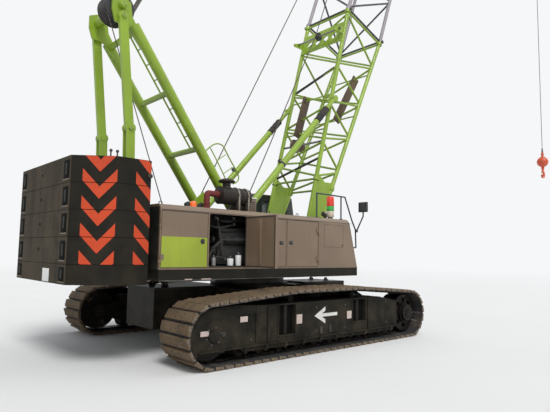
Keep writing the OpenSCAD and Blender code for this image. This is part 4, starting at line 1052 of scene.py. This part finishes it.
def groovedSheave(centre, core, rim, wide, hub, sides=36):
    # a sheave about a cross shaft: two rims that slope to the groove, and a hub
    x, y, z = centre
    outer = roundBar((x, y - wide / 2, z), (x, y + wide / 2, z), rim, sides)

    def groove():
        pickFaces(outer, lambda middle, normal: abs(normal.y) < 0.5)
        bpy.ops.mesh.inset(thickness=wide * 0.16, use_boundary=True)
        bpy.ops.transform.resize(value=(core / rim, 1, core / rim), center_override=centre)
    editing(outer, groove, "NONE")
    boss = roundBar((x, y - wide * 0.62, z), (x, y + wide * 0.62, z), hub, 20, 0.002)
    return [painted(outer, "sheave"), painted(boss, "darkSteel")]


guides = []
for along, sides, half in ((3.045, (-0.02,), 0.384), (6.42, (0.127,), 0.376), (9.54, (-0.028, 0.105), 0.376),
        (15.54, (-0.036, 0.075), 0.376), (21.3, (-0.044, 0.05), 0.376)):
    back = (0.505 if along < 4 else 0.46) - guideShape["core"] - hoistRopes["radius"]
    parts = Kit()
    parts.pin("steel", along, back, -half - 0.012, half + 0.012, guideShape["shaft"], 16, 0.002)
    for side in sides:
        parts += groovedSheave((along, side, back), guideShape["core"], guideShape["rim"], guideShape["wide"], 0.022)
    for s in (-1, 1):
        parts.pin("darkSteel", along, back, s * (half + 0.01), s * (half + 0.022), 0.019, 6, 0.002)
        if along > 4:
            parts.block("lattice", (along - 0.03, s * chordAt - guideShape["plate"] / 2, chordAt + 0.01),
                (along + 0.03, s * chordAt + guideShape["plate"] / 2, back + 0.028), 0.003)
    guides.append(inBoom(joined(parts)))
idlers = []
for side in (-0.045, 0.045):
    idlers += groovedSheave((idlerX, side, idlerZ), idlerRadius - hoistRopes["radius"], idlerRadius + 0.014, 0.038,
        0.05, 48)
guides.append(inBoom(joined(idlers)))
ax, az = hoistRopes["anchor"]
socket = [painted(roundBar((ax, -0.195, az), (ax, 0.195, az), 0.0165, 16, 0.002), "steel"),
    painted(block((ax - 0.022, 0.026, az - 0.022), (ax + 0.06, 0.064, az + 0.022), 0.006), "darkSteel")]
guides.append(inBoom(joined(socket)))
ready("boom_rope_guides", guides, None, "boom")

# luffing falls between gantry head and bridle, and the line down to its drum
luffing = {"radius": 0.005, "head": (-1.825, 3.2), "headRadius": 0.134, "bridle": (-0.9423, 4.9724),
    "bridleRadius": 0.107, "headSides": (-0.222, -0.186, -0.15, -0.114, -0.078),
    "bridleSides": (-0.15, -0.075, 0.0, 0.075, 0.15)}
(headX, headZ), (bridleX, bridleZ) = luffing["head"], luffing["bridle"]
climb = Vector((bridleX - headX, 0, bridleZ - headZ)).normalized()
square = Vector((-climb.z, 0, climb.x))
falls = []
for i, (headSide, bridleSide) in enumerate(zip(luffing["headSides"], luffing["bridleSides"])):
    front = roundBar(Vector((headX, headSide, headZ)) - square * luffing["headRadius"],
        Vector((bridleX, bridleSide, bridleZ)) - square * luffing["bridleRadius"], luffing["radius"], 8)
    falls.append(front)
    if i:
        falls.append(roundBar(Vector((headX, headSide, headZ)) + square * luffing["headRadius"],
            Vector((bridleX, luffing["bridleSides"][i - 1], bridleZ)) + square * luffing["bridleRadius"],
            luffing["radius"], 8))
fallsPiece = ready("luffing_falls", falls, "rope", None)
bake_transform(fallsPiece)
luffLine = roundBar((-1.949, -0.222, 3.155), (-1.164, -0.24, 0.994), luffing["radius"], 8)
ready("luffing_line", luffLine, "rope", "upper")


def ropeRing(centre, ringRadius, thick, count=1, pitch=0.0, segments=36):
    # turns of rope side by side on a barrel or in a groove
    ring = primitive(bpy.ops.mesh.primitive_torus_add, major_radius=ringRadius, minor_radius=thick,
        major_segments=segments, minor_segments=6, location=centre, rotation=(pi / 2, 0, 0))
    if count > 1:
        modified(ring, "ARRAY", count=count, use_relative_offset=False, use_constant_offset=True,
            constant_offset_displace=(0, pitch, 0))
    return ring


headWraps = [ropeRing((headX, y, headZ), luffing["headRadius"], luffing["radius"]) for y in luffing["headSides"]]
ready("gantry_sheave_ropes", headWraps, "rope", "gantry_sheaves")
bridleWraps = [ropeRing((bridleX, y, bridleZ), luffing["bridleRadius"], luffing["radius"])
    for y in luffing["bridleSides"]]
ready("bridle_sheave_ropes", bridleWraps, "rope", "boom")
for drumName, x, barrel, thick, count in (("front_drum", -0.12, 0.128, 0.0065, 37),
        ("rear_drum", -0.74, 0.128, 0.0065, 37), ("luffing_drum", -1.27, 0.108, 0.005, 48)):
    wraps = ropeRing((x, -0.246, 0.955), barrel + thick, thick, count, thick * 2.07)
    ready(drumName + "_rope", wraps, "rope", drumName)
print("ropes made")

# boom fittings: joint pins, foot caps, inner boards, guide sheave, sleeves on two lacings
fittings = Kit()
for along in boomJoints:
    for side in (-chordAt, chordAt):
        for back in (-chordAt, chordAt):
            out = copysign(1, side)
            fittings.pin("steel", along, back, side - 0.052, side + 0.052, 0.017, 12, 0.002)
            fittings.pin("darkSteel", along, back, side + out * 0.045, side + out * 0.057, 0.023, 12, 0.002)
for s in (-1, 1):
    fittings.pin("darkSteel", 0, 0, s * 0.404, s * 0.409, 0.088, 32, 0.0015)
boards = {"near": (-0.1, (2.06, -0.19), (2.88, -0.36), -1), "far": (0.1, (1.6, 0.235), (2.2, 0.255), 1)}
for side, start, end, face in boards.values():
    way = Vector((end[0] - start[0], 0, end[1] - start[1]))
    slab = block((0, -0.01, -0.062), (way.length, 0.01, 0.062), 0.004)
    fittings.add("board", moved(slab, (start[0], side, start[1]), -atan2(way.z, way.x)))
    for along in (start[0] + 0.06, end[0] - 0.05):
        back = face * chordBack(along)
        fittings.pin("lime", along, back, -chordAt, chordAt, 0.01, 10)
        for dy in (-0.017, 0.017):
            fittings.pin("steel", along, back, side + dy * 0.9, side + dy, 0.02, 6, 0.001)
fittings += [painted(p, "board") for p in groovedSheave((1.5, 0.1, 0.185), 0.078, 0.094, 0.1, 0.035)]
fittings.pin("steel", 1.5, 0.185, -0.378, 0.378, 0.014, 14, 0.002)
for low, high, thick in (((2.33, 0.325, chordBack(2.33)), (2.55, -0.325, chordBack(2.55)), 0.0165),
        ((1.05, 0.372, chordBack(1.05)), (1.265, -0.372, chordBack(1.265)), 0.015)):
    fittings.bar("plastic", low, high, thick, 16, 0.001)
ready("boom_fittings", inBoom(joined(fittings)), None, "boom")

# backstops: rubber sleeves over the rods, small brackets on the tubes
stops = {"foot": (-0.6, 0.434, 1.175), "way": Vector((0.6760192, 0, 0.736884)), "sleeve": (1.86, 2.115),
    "outside": 0.042}
sleeves, clips = [], Kit()
way, across = stops["way"], Vector((0, 1, 0))
out = Vector((-way.z, 0, way.x))
for s in (-1, 1):
    foot = Vector((stops["foot"][0], s * stops["foot"][1], stops["foot"][2]))
    low, high = (foot + way * reach for reach in stops["sleeve"])
    sleeve = roundBar(low, high, stops["outside"], 28)
    editing(sleeve, lambda: (pickFaces(sleeve, lambda c, n: n.dot(way) < -0.9), bpy.ops.mesh.delete(type="FACE")),
        "NONE")
    sleeves.append(modified(sleeve, "SOLIDIFY", thickness=0.002, offset=-1))
    for i in range(4):
        place, r = low + (high - low) * (0.04 + 0.3 * i), stops["outside"] + 0.0005
        turns = [radians(a) for a in range(0, 360, 15)]
        sleeves.append(tube([place + r * (cos(t) * out + sin(t) * across) for t in turns], 0.003, 8, closed=True))
    at, eye, grease = foot + way * 1.03, foot + way * 1.03 + out * 0.055, foot + way * 1.8
    bracket = block((-0.02, -0.012, 0.0), (0.02, 0.012, 0.045), 0.003)
    clips.add("plastic", moved(bracket, at + out * 0.03, -atan2(way.z, way.x)))
    clips.bar("darkSteel", at - way * 0.014, at + way * 0.014, 0.0405, 28, 0.001)
    clips.bar("steel", eye - across * 0.018, eye + across * 0.018, 0.01, 12, 0.001)
    clips.bar("lime", grease, grease + way * 0.03, 0.0387, 28, 0.0005)
ready("backstop_sleeves", sleeves, "rubber", "backstop_rods")
ready("backstop_clips", clips, None, "backstop_tubes")
print("boom and backstops dressed")

# air filter with its rain cap, clamp bands and rusty outlet bend
filterShape = {"y": -0.6, "z": 1.485, "rear": -0.9, "front": -0.545, "radius": 0.086, "cap": -0.805, "outlet": -1.035,
    "bands": (-0.707, -0.588), "pipe": 0.03, "pipeHigh": 1.49}
fy, fz, fr = filterShape["y"], filterShape["z"], filterShape["radius"]
filterParts = Kit()
filterParts.bar("filter", (filterShape["rear"], fy, fz), (filterShape["front"] + 0.01, fy, fz), fr, 48, 0.02)
for x, r, wide in ((filterShape["rear"] + 0.004, fr + 0.003, 0.01), (-0.66, fr + 0.0025, 0.014),
        (filterShape["front"] - 0.03, fr + 0.003, 0.008)):
    filterParts.bar("filter", (x, fy, fz), (x + wide, fy, fz), r, 48, 0.002)
filterParts.bar("filter", (filterShape["front"] - 0.004, fy, fz), (filterShape["front"] + 0.012, fy, fz), 0.034, 28,
    0.004, top=0.026)
for x in filterShape["bands"]:
    band = ropeRing((0, 0, 0), fr + 0.0035, 0.0045, segments=48)
    widened = Matrix.Scale(1.9, 4, (0, 1, 0))
    band.matrix_world = Matrix.Translation((x, fy, fz)) @ Matrix.Rotation(pi / 2, 4, "Z") @ widened
    filterParts.add("galvanised", applied(band))
    for s in (-1, 1):
        filterParts.block("galvanised", (x - 0.01, fy + s * fr - 0.003, 1.331), (x + 0.01, fy + s * fr + 0.003, fz),
            0.001)
    filterParts.block("darkSteel", (x - 0.014, fy - fr - 0.006, 1.331), (x + 0.014, fy + fr + 0.006, 1.345), 0.002)
    filterParts.block("filter", (x - 0.012, fy - 0.055, 1.345), (x + 0.012, fy + 0.055, fz - fr * 0.75), 0.003)
    filterParts.pin("steel", x, fz + 0.01, fy - fr - 0.012, fy - fr + 0.004, 0.006, 6)
cx = filterShape["cap"]
for low, high, r, top in ((1.555, 1.572, 0.05, 0.046), (1.57, 1.616, 0.04, 0.037), (1.614, 1.622, 0.074, 0.0845),
        (1.622, 1.634, 0.0845, 0.0845), (1.634, 1.646, 0.08, 0.06), (1.646, 1.652, 0.056, 0.046)):
    filterParts.post("filter", cx, fy, low, high, r, 40, 0.0015, top=top)
filterParts.post("steel", cx, fy, 1.65, 1.6565, 0.01, 6, 0.001)
for i in range(8):
    # slots under the rain cap
    slot = block((0.034, -0.006, 1.584), (0.0405, 0.006, 1.608), 0.001)
    filterParts.add("plastic", moved(slot, (cx, fy, 0), radians(45 * i), "Z"))
ox = filterShape["outlet"]
pr, ph = filterShape["pipe"], filterShape["pipeHigh"]
bend = [(ox, fy, 1.331), (ox, fy, 1.4), (ox, fy, ph - 0.002), (ox + 0.016, fy, ph + 0.002), (ox + 0.08, fy, ph),
    (filterShape["rear"] + 0.006, fy, ph)]
filterParts.tube("rustPipe", bend, pr, 24)
for low, high in (((ox, fy, 1.331), (ox, fy, 1.34)), ((ox, fy, 1.385), (ox, fy, 1.395)),
        ((filterShape["rear"] - 0.03, fy, ph), (filterShape["rear"] - 0.018, fy, ph))):
    filterParts.bar("rustPipe", low, high, pr + 0.005, 24, 0.002)
ready("air_filter_detail", filterParts, None, "upper")
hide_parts("air_filter")

# lamps on the roof: amber beacon, and the stack of cream, green and red lenses
lampParts = Kit()
beacon = (-1.16, -0.56)
lampParts.post("plastic", *beacon, roofTop, 1.35, 0.0315, 28, 0.002)
lampParts.post("amberLens", *beacon, 1.344, 1.392, 0.033, 28, 0.003, top=0.031)
lampParts.add("amberLens", ball((*beacon, 1.389), 0.031, 8, (1, 1, 0.6)))
for x in (-1.225, -1.08):
    # small black horns beside the beacon
    lampParts.pin("plastic", x, 1.372, -0.575, -0.525, 0.026, 20, 0.002, top=0.016)
    lampParts.block("plastic", (x - 0.014, -0.565, roofTop), (x + 0.014, -0.535, 1.362), 0.003)
stack = (0.677, -0.65)
for low, high, r, coat in ((roofTop, 1.34, 0.04, "plastic"), (1.34, 1.362, 0.03, "steel"),
        (1.36, 1.432, 0.045, "cream"), (1.432, 1.488, 0.045, "greenLens"), (1.488, 1.592, 0.045, "redLens"),
        (1.592, 1.602, 0.04, "redLens")):
    lampParts.post(coat, *stack, low, high, r, 32, 0.0025)
for z in (1.372, 1.432, 1.488):
    lampParts.post("plastic", *stack, z - 0.0015, z + 0.0015, 0.0458, 32, 0.0006)
lampParts.bar("plastic", (0.59, -0.64, 1.39), (0.56, -0.64, 1.39), 0.02, 24, 0.002, top=0.03)
lampParts.block("plastic", (0.585, -0.655, roofTop), (0.615, -0.625, 1.402), 0.004)
ready("roof_lamps", lampParts, None, "upper")
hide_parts("signal_lamps")

# roof: vent box, rail flanges, lifting eyes
roof = Kit()
roof.block("housing", (-0.527, -0.64, roofTop), (-0.45, -0.56, 1.478), 0.005)
roof.block("white", (-0.534, -0.648, 1.476), (-0.443, -0.552, 1.488), 0.004)
for i in range(5):
    roof.block("plastic", (-0.515, -0.6425, 1.36 + i * 0.02), (-0.462, -0.6395, 1.368 + i * 0.02), 0.001)
railFoot = {"y": -0.785, "places": (0.3, 0.71)}
for x in railFoot["places"]:
    roof.post("railing", x, railFoot["y"], 1.3302, 1.336, 0.022, 20, 0.001)
    roof.bolts("steel", 4, 45, 0.0155, (x, railFoot["y"], 1.336), (x, railFoot["y"], 1.339), 0.0032)
for x in (-1.56, -0.3, 0.12):
    roof.add("darkSteel", ropeRing((x, -0.66, 1.35), 0.016, 0.0045, segments=24))
    roof.post("darkSteel", x, -0.66, 1.3302, 1.337, 0.015, 16, 0.001)
ready("roof_fittings", roof, None, "upper")

# gantry hoop and its guard plate
guard = flatField(((-0.98, 1.09), (-0.977, 1.454), (-0.873, 1.545), (-0.835, 1.437), (-0.84, 1.09)), -0.305, 0.01, 1)
bevelled(guard, 0.002, 1)
loop = [(-0.79, 1.995), (-0.721, 2.069), (-0.639, 2.106), (-0.565, 2.085), (-0.534, 2.028), (-0.443, 1.906),
    (-0.355, 1.803), (-0.338, 1.747), (-0.366, 1.7), (-0.425, 1.68)]
hoop = [tube([(x, -0.2, z) for x, z in loop], 0.0075, 12),
    tube([(-0.736, -0.2, 2.032), (-0.632, -0.2, 1.895), (-0.505, -0.2, 1.69)], 0.0065, 12)]
for (xa, za), (xb, zb) in (((-0.645, 1.91), (-0.535, 1.99)), ((-0.552, 1.78), (-0.441, 1.862)),
        ((-0.515, 1.703), (-0.41, 1.684))):
    hoop.append(tube([(xa, -0.2, za), (xb, -0.2, zb)], 0.0055, 8, smooth=False))
for xa, za in ((-0.79, 1.995), (-0.66, 1.85), (-0.505, 1.69)):
    # stubs to the front leg beside the hoop
    leg = (-0.3 - (za - 1.1) * 0.7262 * 0.93, -0.268, za - 0.02)
    hoop.append(tube([(xa, -0.2, za), leg], 0.0065, 8, smooth=False))
ready("gantry_hoop", [painted(p, "lime") for p in hoop] + [painted(guard, "lime")], None, "upper")

# gantry pins: on each end a keeper plate with three bolts
pins = Kit()
for s in (-1, 1):
    for x, z, y, r in ((-1.672, 0.86, 0.346, 0.024), (-1.712, 2.05, 0.346, 0.024), (-1.82, 3.09, 0.326, 0.024),
            (-1.825, 3.2, 0.32, 0.033), (-0.3, 1.13, 0.33, 0.036)):
        pins.pin("lime", x, z, s * y, s * (y + 0.006), r, 28, 0.0015)
        pins.bolts("steel", 3, 90, r * 0.62, (x, s * (y + 0.006), z), (x, s * (y + 0.012), z), 0.0055)
    for share in (0.42, 0.66, 0.905):
        # weld collars where the cross tubes meet the legs
        x, z = -0.3 + share * -1.525, 1.1 + share * 2.1
        pins.pin("lime", x, z, s * 0.243, s * 0.262, 0.0335, 24, 0.002)
ready("gantry_pins", pins, None, "upper")
print("roof and gantry dressed")


# cab: rubber seals, wiper, lamps, handles, steps
def frameStrip(low, high, wide, axis):
    # a rubber profile round a window; axis is the direction the window faces
    low, high = Vector(low), Vector(high)
    a, b = [i for i in range(3) if i != axis]
    strips = []
    for i, j in ((a, b), (b, a)):
        for edge in (low, high):
            l, h = low.copy(), high.copy()
            l[j], h[j] = edge[j] - wide / 2, edge[j] + wide / 2
            l[i] -= wide / 2
            h[i] += wide / 2
            strips.append(block(l, h, 0.002))
    return strips


cabParts = Kit()
for low, high, facing in (((0.6, 0.5, 1.08), (1.06, 0.5055, 1.63), 1), ((0.4755, 0.565, 1.15), (0.4805, 0.89, 1.62), 0),
        ((0.7, 0.595, 1.6995), (1.02, 0.86, 1.7045), 2)):
    for strip in frameStrip(low, high, 0.014, facing):
        cabParts.add("rubber", strip)
cabParts.block("plastic", (0.474, 0.5, 1.64), (1.165, 0.955, 1.652), 0.003)
cabParts.block("housing", (0.492, 0.52, 1.7), (1.14, 0.94, 1.716), 0.007, 3)
for y in (0.56, 0.9):
    # work lamps on the roof's front edge
    cabParts.block("plastic", (1.085, y - 0.035, 1.716), (1.125, y + 0.035, 1.772), 0.008, 3)
    cabParts.block("cream", (1.124, y - 0.029, 1.722), (1.129, y + 0.029, 1.766), 0.004)
wiperFoot = (1.258, 0.72, 1.19)
cabParts.tube("plastic", [wiperFoot, (1.252, 0.74, 1.3), (1.226, 0.77, 1.42)], 0.005, 8)
cabParts.tube("rubber", [(1.242, 0.772, 1.33), (1.214, 0.776, 1.52)], 0.004, 8, smooth=False)
cabParts.bar("plastic", (1.246, 0.72, 1.19), (1.266, 0.72, 1.19), 0.013, 20, 0.002)
grab = [(1.17, 0.952, 1.04), (1.17, 0.99, 1.06), (1.17, 0.99, 1.4), (1.17, 0.952, 1.42)]
cabParts.tube("railing", grab, 0.007, 10)
for z in (0.735, 0.64):
    cabParts.block("darkSteel", (0.7, 0.875, z), (0.93, 0.965, z + 0.01), 0.003)
    for x in (0.705, 0.925):
        cabParts.block("darkSteel", (x - 0.005, 0.872, z), (x + 0.005, 0.9, z + 0.135), 0.001)
    for i in range(7):
        cabParts.block("steel", (0.715 + i * 0.03, 0.885, z + 0.009), (0.729 + i * 0.03, 0.955, z + 0.013), 0.001)
ready("cab_fittings", cabParts, None, "upper")
handle = Kit()
handle.block("plastic", (1.06, 0.9795, 1.1), (1.1, 0.988, 1.16), 0.003)
handle.tube("darkSteel", [(1.068, 0.986, 1.112), (1.068, 1.004, 1.118), (1.068, 1.004, 1.142), (1.068, 0.986, 1.148)],
    0.004, 8)
for strip in frameStrip((0.69, 0.979, 1.04), (1.09, 0.9825, 1.63), 0.012, 1):
    handle.add("rubber", strip)
ready("cab_door_fittings", handle, None, "cab_door")

# seat cushions, levers, mirrors
seatShape = {"middle": 0.7275, "x": 0.64, "z": 1.01, "wide": 0.22}
sx, sy, sz = seatShape["x"], seatShape["middle"], seatShape["z"]


def cushion(length, wide, thick, channels):
    # a crowned pad with sewn channels across it; lies flat with its base at z = 0
    pad = primitive(bpy.ops.mesh.primitive_grid_add, x_subdivisions=28, y_subdivisions=20, size=1)
    pad.location, pad.scale = (length / 2, 0, 0), (length, wide, 1)
    applied(pad)
    extruded(pad, (0, 0, thick * 0.55))
    for point in pad.data.vertices:
        u, v = point.co.x / length * 2 - 1, point.co.y / wide * 2
        crown = (1 - u ** 4) * (1 - v ** 4)
        if point.co.z > thick * 0.3:
            seamDip = sum(exp(-((u - c) / 0.045) ** 2) for c in channels) + exp(-((abs(v) - 0.62) / 0.05) ** 2)
            point.co.z += thick * 0.45 * crown - 0.006 * min(1.0, seamDip) * crown
        pull = 1 - 0.03 * (u * u * v * v)
        point.co.x = length / 2 + (point.co.x - length / 2) * pull
        point.co.y *= pull
    modified(outwards(pad), "BEVEL", width=0.006, segments=2, limit_method="ANGLE", angle_limit=radians(50))
    return pad


seatPad = cushion(0.215, seatShape["wide"], 0.05, (-0.35, 0.35))
ready("seat_cushion", moved(seatPad, (sx, sy, sz + 0.008)), "fabric", "upper", 60)
backPad = cushion(0.305, seatShape["wide"] * 0.96, 0.046, (-0.45, 0.0, 0.45))
ready("seat_back", moved(backPad, (sx - 0.01, sy, sz + 0.066), radians(-100)), "fabric", "upper", 60)
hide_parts("cab_seat")
levers = Kit()
for s in (-1, 1):
    y = sy + s * 0.16
    levers.post("rubber", sx + 0.25, y, 1.118, 1.136, 0.022, 20, 0.002, top=0.012)
    levers.tube("steel", [(sx + 0.25, y, 1.13), (sx + 0.254, y, 1.18), (sx + 0.262, y, 1.215)], 0.005, 8)
    levers.add("plastic", ball((sx + 0.264, y, 1.222), 0.017, 8, (0.9, 0.9, 1.25)))
    levers.block("rubber", (sx + 0.04, y - 0.03, 1.118), (sx + 0.2, y + 0.03, 1.134), 0.007, 3)
levers.block("plastic", (1.08, sy - 0.09, 1.08), (1.098, sy + 0.06, 1.18), 0.006)
ready("cab_levers", levers, None, "upper")
# mirror panes, their near-black finish a painted dark reflection
mirrorGlass = [block((1.0835, -0.8495, 1.448), (1.0855, -0.7575, 1.552), 0.001),
    block((1.3235, 0.9475, 1.408), (1.3245, 1.0325, 1.522))]
ready("mirror_glass", mirrorGlass, "mirror", "upper", 0)
print("cab dressed")

# track frames: end plates, bottom flanges, window frames, posts, sockets; arrow and blank plates on the right
frameSide = {"face": -1.24, "flange": (-1.52, 1.13, 0.141, 0.151), "flangeOut": -1.264,
    "endPlate": (-1.375, 0.265, 0.214), "windows": ((-0.664, -0.461, 0.2005, 0.4655), (0.361, 0.574, 0.2425, 0.4655)),
    "posts": ((-0.79, 0.108, 0.47), (0.62, 0.108, 0.47), (-0.925, 0.128, 0.47)),
    "arrow": {"tip": (-0.203, 0.341), "tail": 0.123, "half": 0.0155, "barb": (-0.052, 0.081), "barbWide": 0.04},
    "plates": ((-1.499, -1.419, 0.271, 0.311), (-1.108, -1.029, 0.353, 0.399), (-0.446, -0.371, 0.286, 0.37),
        (0.276, 0.346, 0.281, 0.356)),
    "sockets": ((-0.133, -0.095, 0.164, 0.239), (0.001, 0.034, 0.173, 0.245), (-1.3, -1.262, 0.25, 0.29))}
face = frameSide["face"]
cx, cz, r = frameSide["endPlate"]
outline = [(cx + r * cos(radians(a)), cz + r * sin(radians(a))) for a in range(216, 88, -8)]
outline += [(-1.13, 0.497), (-0.815, 0.4775), (-0.815, 0.425), (-1.14, 0.405), (-1.14, 0.15)]
sideParts = Kit()
sideParts.add("frame", flatField(outline, face + 0.0005, 0.0085))
x0, x1, z0, z1 = frameSide["flange"]
sideParts.block("frame", (x0, frameSide["flangeOut"], z0), (x1, face + 0.002, z1), 0.002)
sideParts.pin("wheels", cx, cz, face, face - 0.022, 0.048, 28, 0.004)
sideParts.bolts("darkSteel", 6, 15, 0.07, (cx, face - 0.006, cz), (cx, face - 0.015, cz), 0.009, 0.001)
for x0, x1, z0, z1 in frameSide["windows"]:
    # a black sheet at the back of each window's recess: painted shade
    sideParts.block("shadeAndJoints", (x0 + 0.001, face + 0.036, z0 + 0.001), (x1 - 0.001, face + 0.0405, z1 - 0.001))
    for low, high in (((x0 - 0.014, z0 - 0.012), (x0, z1)), ((x1, z0 - 0.012), (x1 + 0.014, z1)),
            ((x0, z0 - 0.012), (x1, z0))):
        sideParts.block("frame", (low[0], face - 0.006, low[1]), (high[0], face + 0.002, high[1]), 0.002)
    middle = (x0 + x1) / 2
    sideParts.post("wheels", middle, face + 0.037, z0 + 0.002, z1 - 0.002, 0.022, 20)
for x, z0, z1 in frameSide["posts"]:
    sideParts.block("frame", (x - 0.012, face - 0.012, z0 + 0.045), (x + 0.012, face + 0.002, z1), 0.003)
for x0, x1, z0, z1 in frameSide["sockets"]:
    back = face - 0.0085 if x0 < -1.2 else face
    sideParts.block("rubber", (x0, back - 0.01, z0), (x1, back + 0.001, z1), 0.004)
for x in (-0.985, -0.18, 0.24, 0.93):
    for z in (0.2, 0.42):
        sideParts.pin("darkSteel", x, z, face + 0.001, face - 0.007, 0.01, 6, 0.001)
for i in range(10):
    # caps and bolts on the rollers' axles
    x = -1.035 + i * 2.07 / 9
    sideParts.pin("wheels", x, 0.127, face + 0.006, face - 0.01, 0.022, 18, 0.003)
sidePlates = joined(sideParts)
otherSide = mirrored(sidePlates)
ready("track_frame_fittings_right", sidePlates, None, "undercarriage")
ready("track_frame_fittings_left", otherSide, None, "undercarriage")
marks = Kit()
arrow = frameSide["arrow"]
(tx, tz), w, (bx, rise), wide = arrow["tip"], arrow["half"], arrow["barb"], arrow["barbWide"]
for z0, z1 in ((-1, 1), (1, -1)):
    barb = [(tx, tz), (bx, tz + z1 * rise), (bx, tz + z1 * (rise - wide)), (tx + 0.072, tz)]
    marks.add("white", flatField(barb, face + 0.0002, 0.0016))
shaft = [(tx + 0.055, tz - w), (tx + 0.055, tz + w), (arrow["tail"], tz + w + 0.002), (arrow["tail"], tz - w + 0.002)]
marks.add("white", flatField(shaft, face + 0.0002, 0.0014))
for x0, x1, z0, z1 in frameSide["plates"]:
    back = face - 0.0085 if x0 < -1.0 else face
    marks.block("palePlate", (x0, back - 0.0015, z0), (x1, back + 0.001, z1), 0.0006)
ready("track_frame_marks", marks, None, "undercarriage", 0)

# final drives: covers over the sprockets' hubs, bolt rings
driveParts = Kit()
hubX, hubZ = 1.375, 0.265
for side in (-1, 1):
    y = side * 1.2405
    driveParts.pin("wheels", hubX, hubZ, side * 1.16, y - side * 0.004, 0.092, 36, 0.006)
    driveParts.pin("frame", hubX, hubZ, y - side * 0.006, y + side * 0.006, 0.06, 32, 0.005)
    driveParts.bolts("darkSteel", 12, 0, 0.078, (hubX, y - side * 0.006, hubZ),
        (hubX, y + side * 0.002, hubZ), 0.0065, 0.001)
ready("final_drive_covers", driveParts, None, "undercarriage")

# car body: lugs on both weights, bolts round the slewing ring, travel hoses
bodyParts = Kit()
for x in (1.18, -1.18):
    for y in (-0.13, 0.13):
        outline = ((x - 0.04, 0.583), (x - 0.012, 0.628), (x + 0.012, 0.628), (x + 0.04, 0.583))
        bodyParts.add("charcoal", flatField(outline, y + 0.008, 0.016))
        bodyParts.pin("steel", x, 0.61, y - 0.012, y + 0.012, 0.009, 14, 0.002)
bodyParts.bolts("darkSteel", 36, 5, 0.382, (0, 0, 0.641), (0, 0, 0.6452), 0.008)
for side in (-1, 1):
    for k, shift in enumerate((0.0, 0.022, 0.044)):
        hose = [(0.3 + shift, side * 0.47, 0.575), (0.42 + shift, side * 0.62, 0.59),
            (0.56 + shift, side * 0.74, 0.577), (0.75 + shift, side * 0.8, 0.574),
            (0.95, side * (0.84 - 0.01 * k), 0.5 - shift), (1.02, side * 0.93, 0.4 - shift)]
        bodyParts.tube("rubber", hose, 0.009, 8)
ready("car_body_fittings", bodyParts, None, "undercarriage")

# deck: two blank plates and the bright line along its lower edge
skirtParts = Kit()
for x0, x1 in ((-1.408, -1.335), (-1.237, -1.135)):
    skirtParts.block("palePlate", (x0, -0.853, 0.686), (x1, -0.8495, 0.697), 0.0006)
edge = block((-1.655, -0.852, 0.6845), (0.922, -0.8495, 0.6875), 0.0008)
skirtParts.add("galvanised", edge)
skirtParts.add("galvanised", mirrored(edge))
ready("deck_edge", skirtParts, None, "upper")

# pile: two pins with ball heads on its right corner, a knob on its side
pileParts = Kit()
for x in (-2.07, -2.015):
    pileParts.post("darkSteel", x, -0.75, 1.668, 1.722, 0.0065, 12, 0.001)
    pileParts.add("darkSteel", ball((x, -0.75, 1.728), 0.0135, 8))
    pileParts.block("darkSteel", (x - 0.018, -0.768, 1.667), (x + 0.018, -0.732, 1.676), 0.002)
pileParts.pin("rubber", -1.775, 1.541, -0.849, -0.872, 0.02, 20, 0.004)
ready("pile_fittings", pileParts, None, "upper")

# hanging rope: a straight stretch in the place of each rope piece of the frame
rx, ry, top = 9.0188, -0.045, 3.45
for stretch, upperBody, lowerBody, high, low in (("rope_upper", "hoist_line", "hoist_fall", 23.914638, 12.5),
        ("rope_lower", "hoist_fall", "ball_weight", 12.4997, top)):
    rope = roundBar((rx, ry, high), (rx, ry, low), hoistRopes["radius"], 12)
    ready("hanging_" + stretch, rope, "rope", None)
    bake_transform(rope)
    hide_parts(stretch)

# ball and hook: rope socket with its pin, swivel bolts, safety catch
ballParts = Kit()
ballParts.post("darkSteel", rx, ry, top - 0.012, top + 0.11, 0.021, 20, 0.003, top=0.012)
ballParts.pin("steel", rx, top - 0.05, ry - 0.04, ry + 0.04, 0.011, 18, 0.002)
ballParts.bolts("darkSteel", 8, 0, 0.046, (rx, ry, 3.3315), (rx, ry, 3.346), 0.006)
seamRing = tube([(rx + 0.1252 * cos(radians(a)), ry + 0.1252 * sin(radians(a)), 3.22) for a in range(0, 360, 10)],
    0.0022, 8, closed=True)
ballParts.add("darkSteel", seamRing)
ready("ball_fittings", ballParts, None, "ball_weight")
catch = tube([(rx - 0.03, ry, 2.992), (rx - 0.052, ry, 2.965), (rx - 0.062, ry, 2.93)], 0.006, 8)
ready("hook_catch", catch, "steel", "hook")
print("undercarriage, pile and hook dressed")
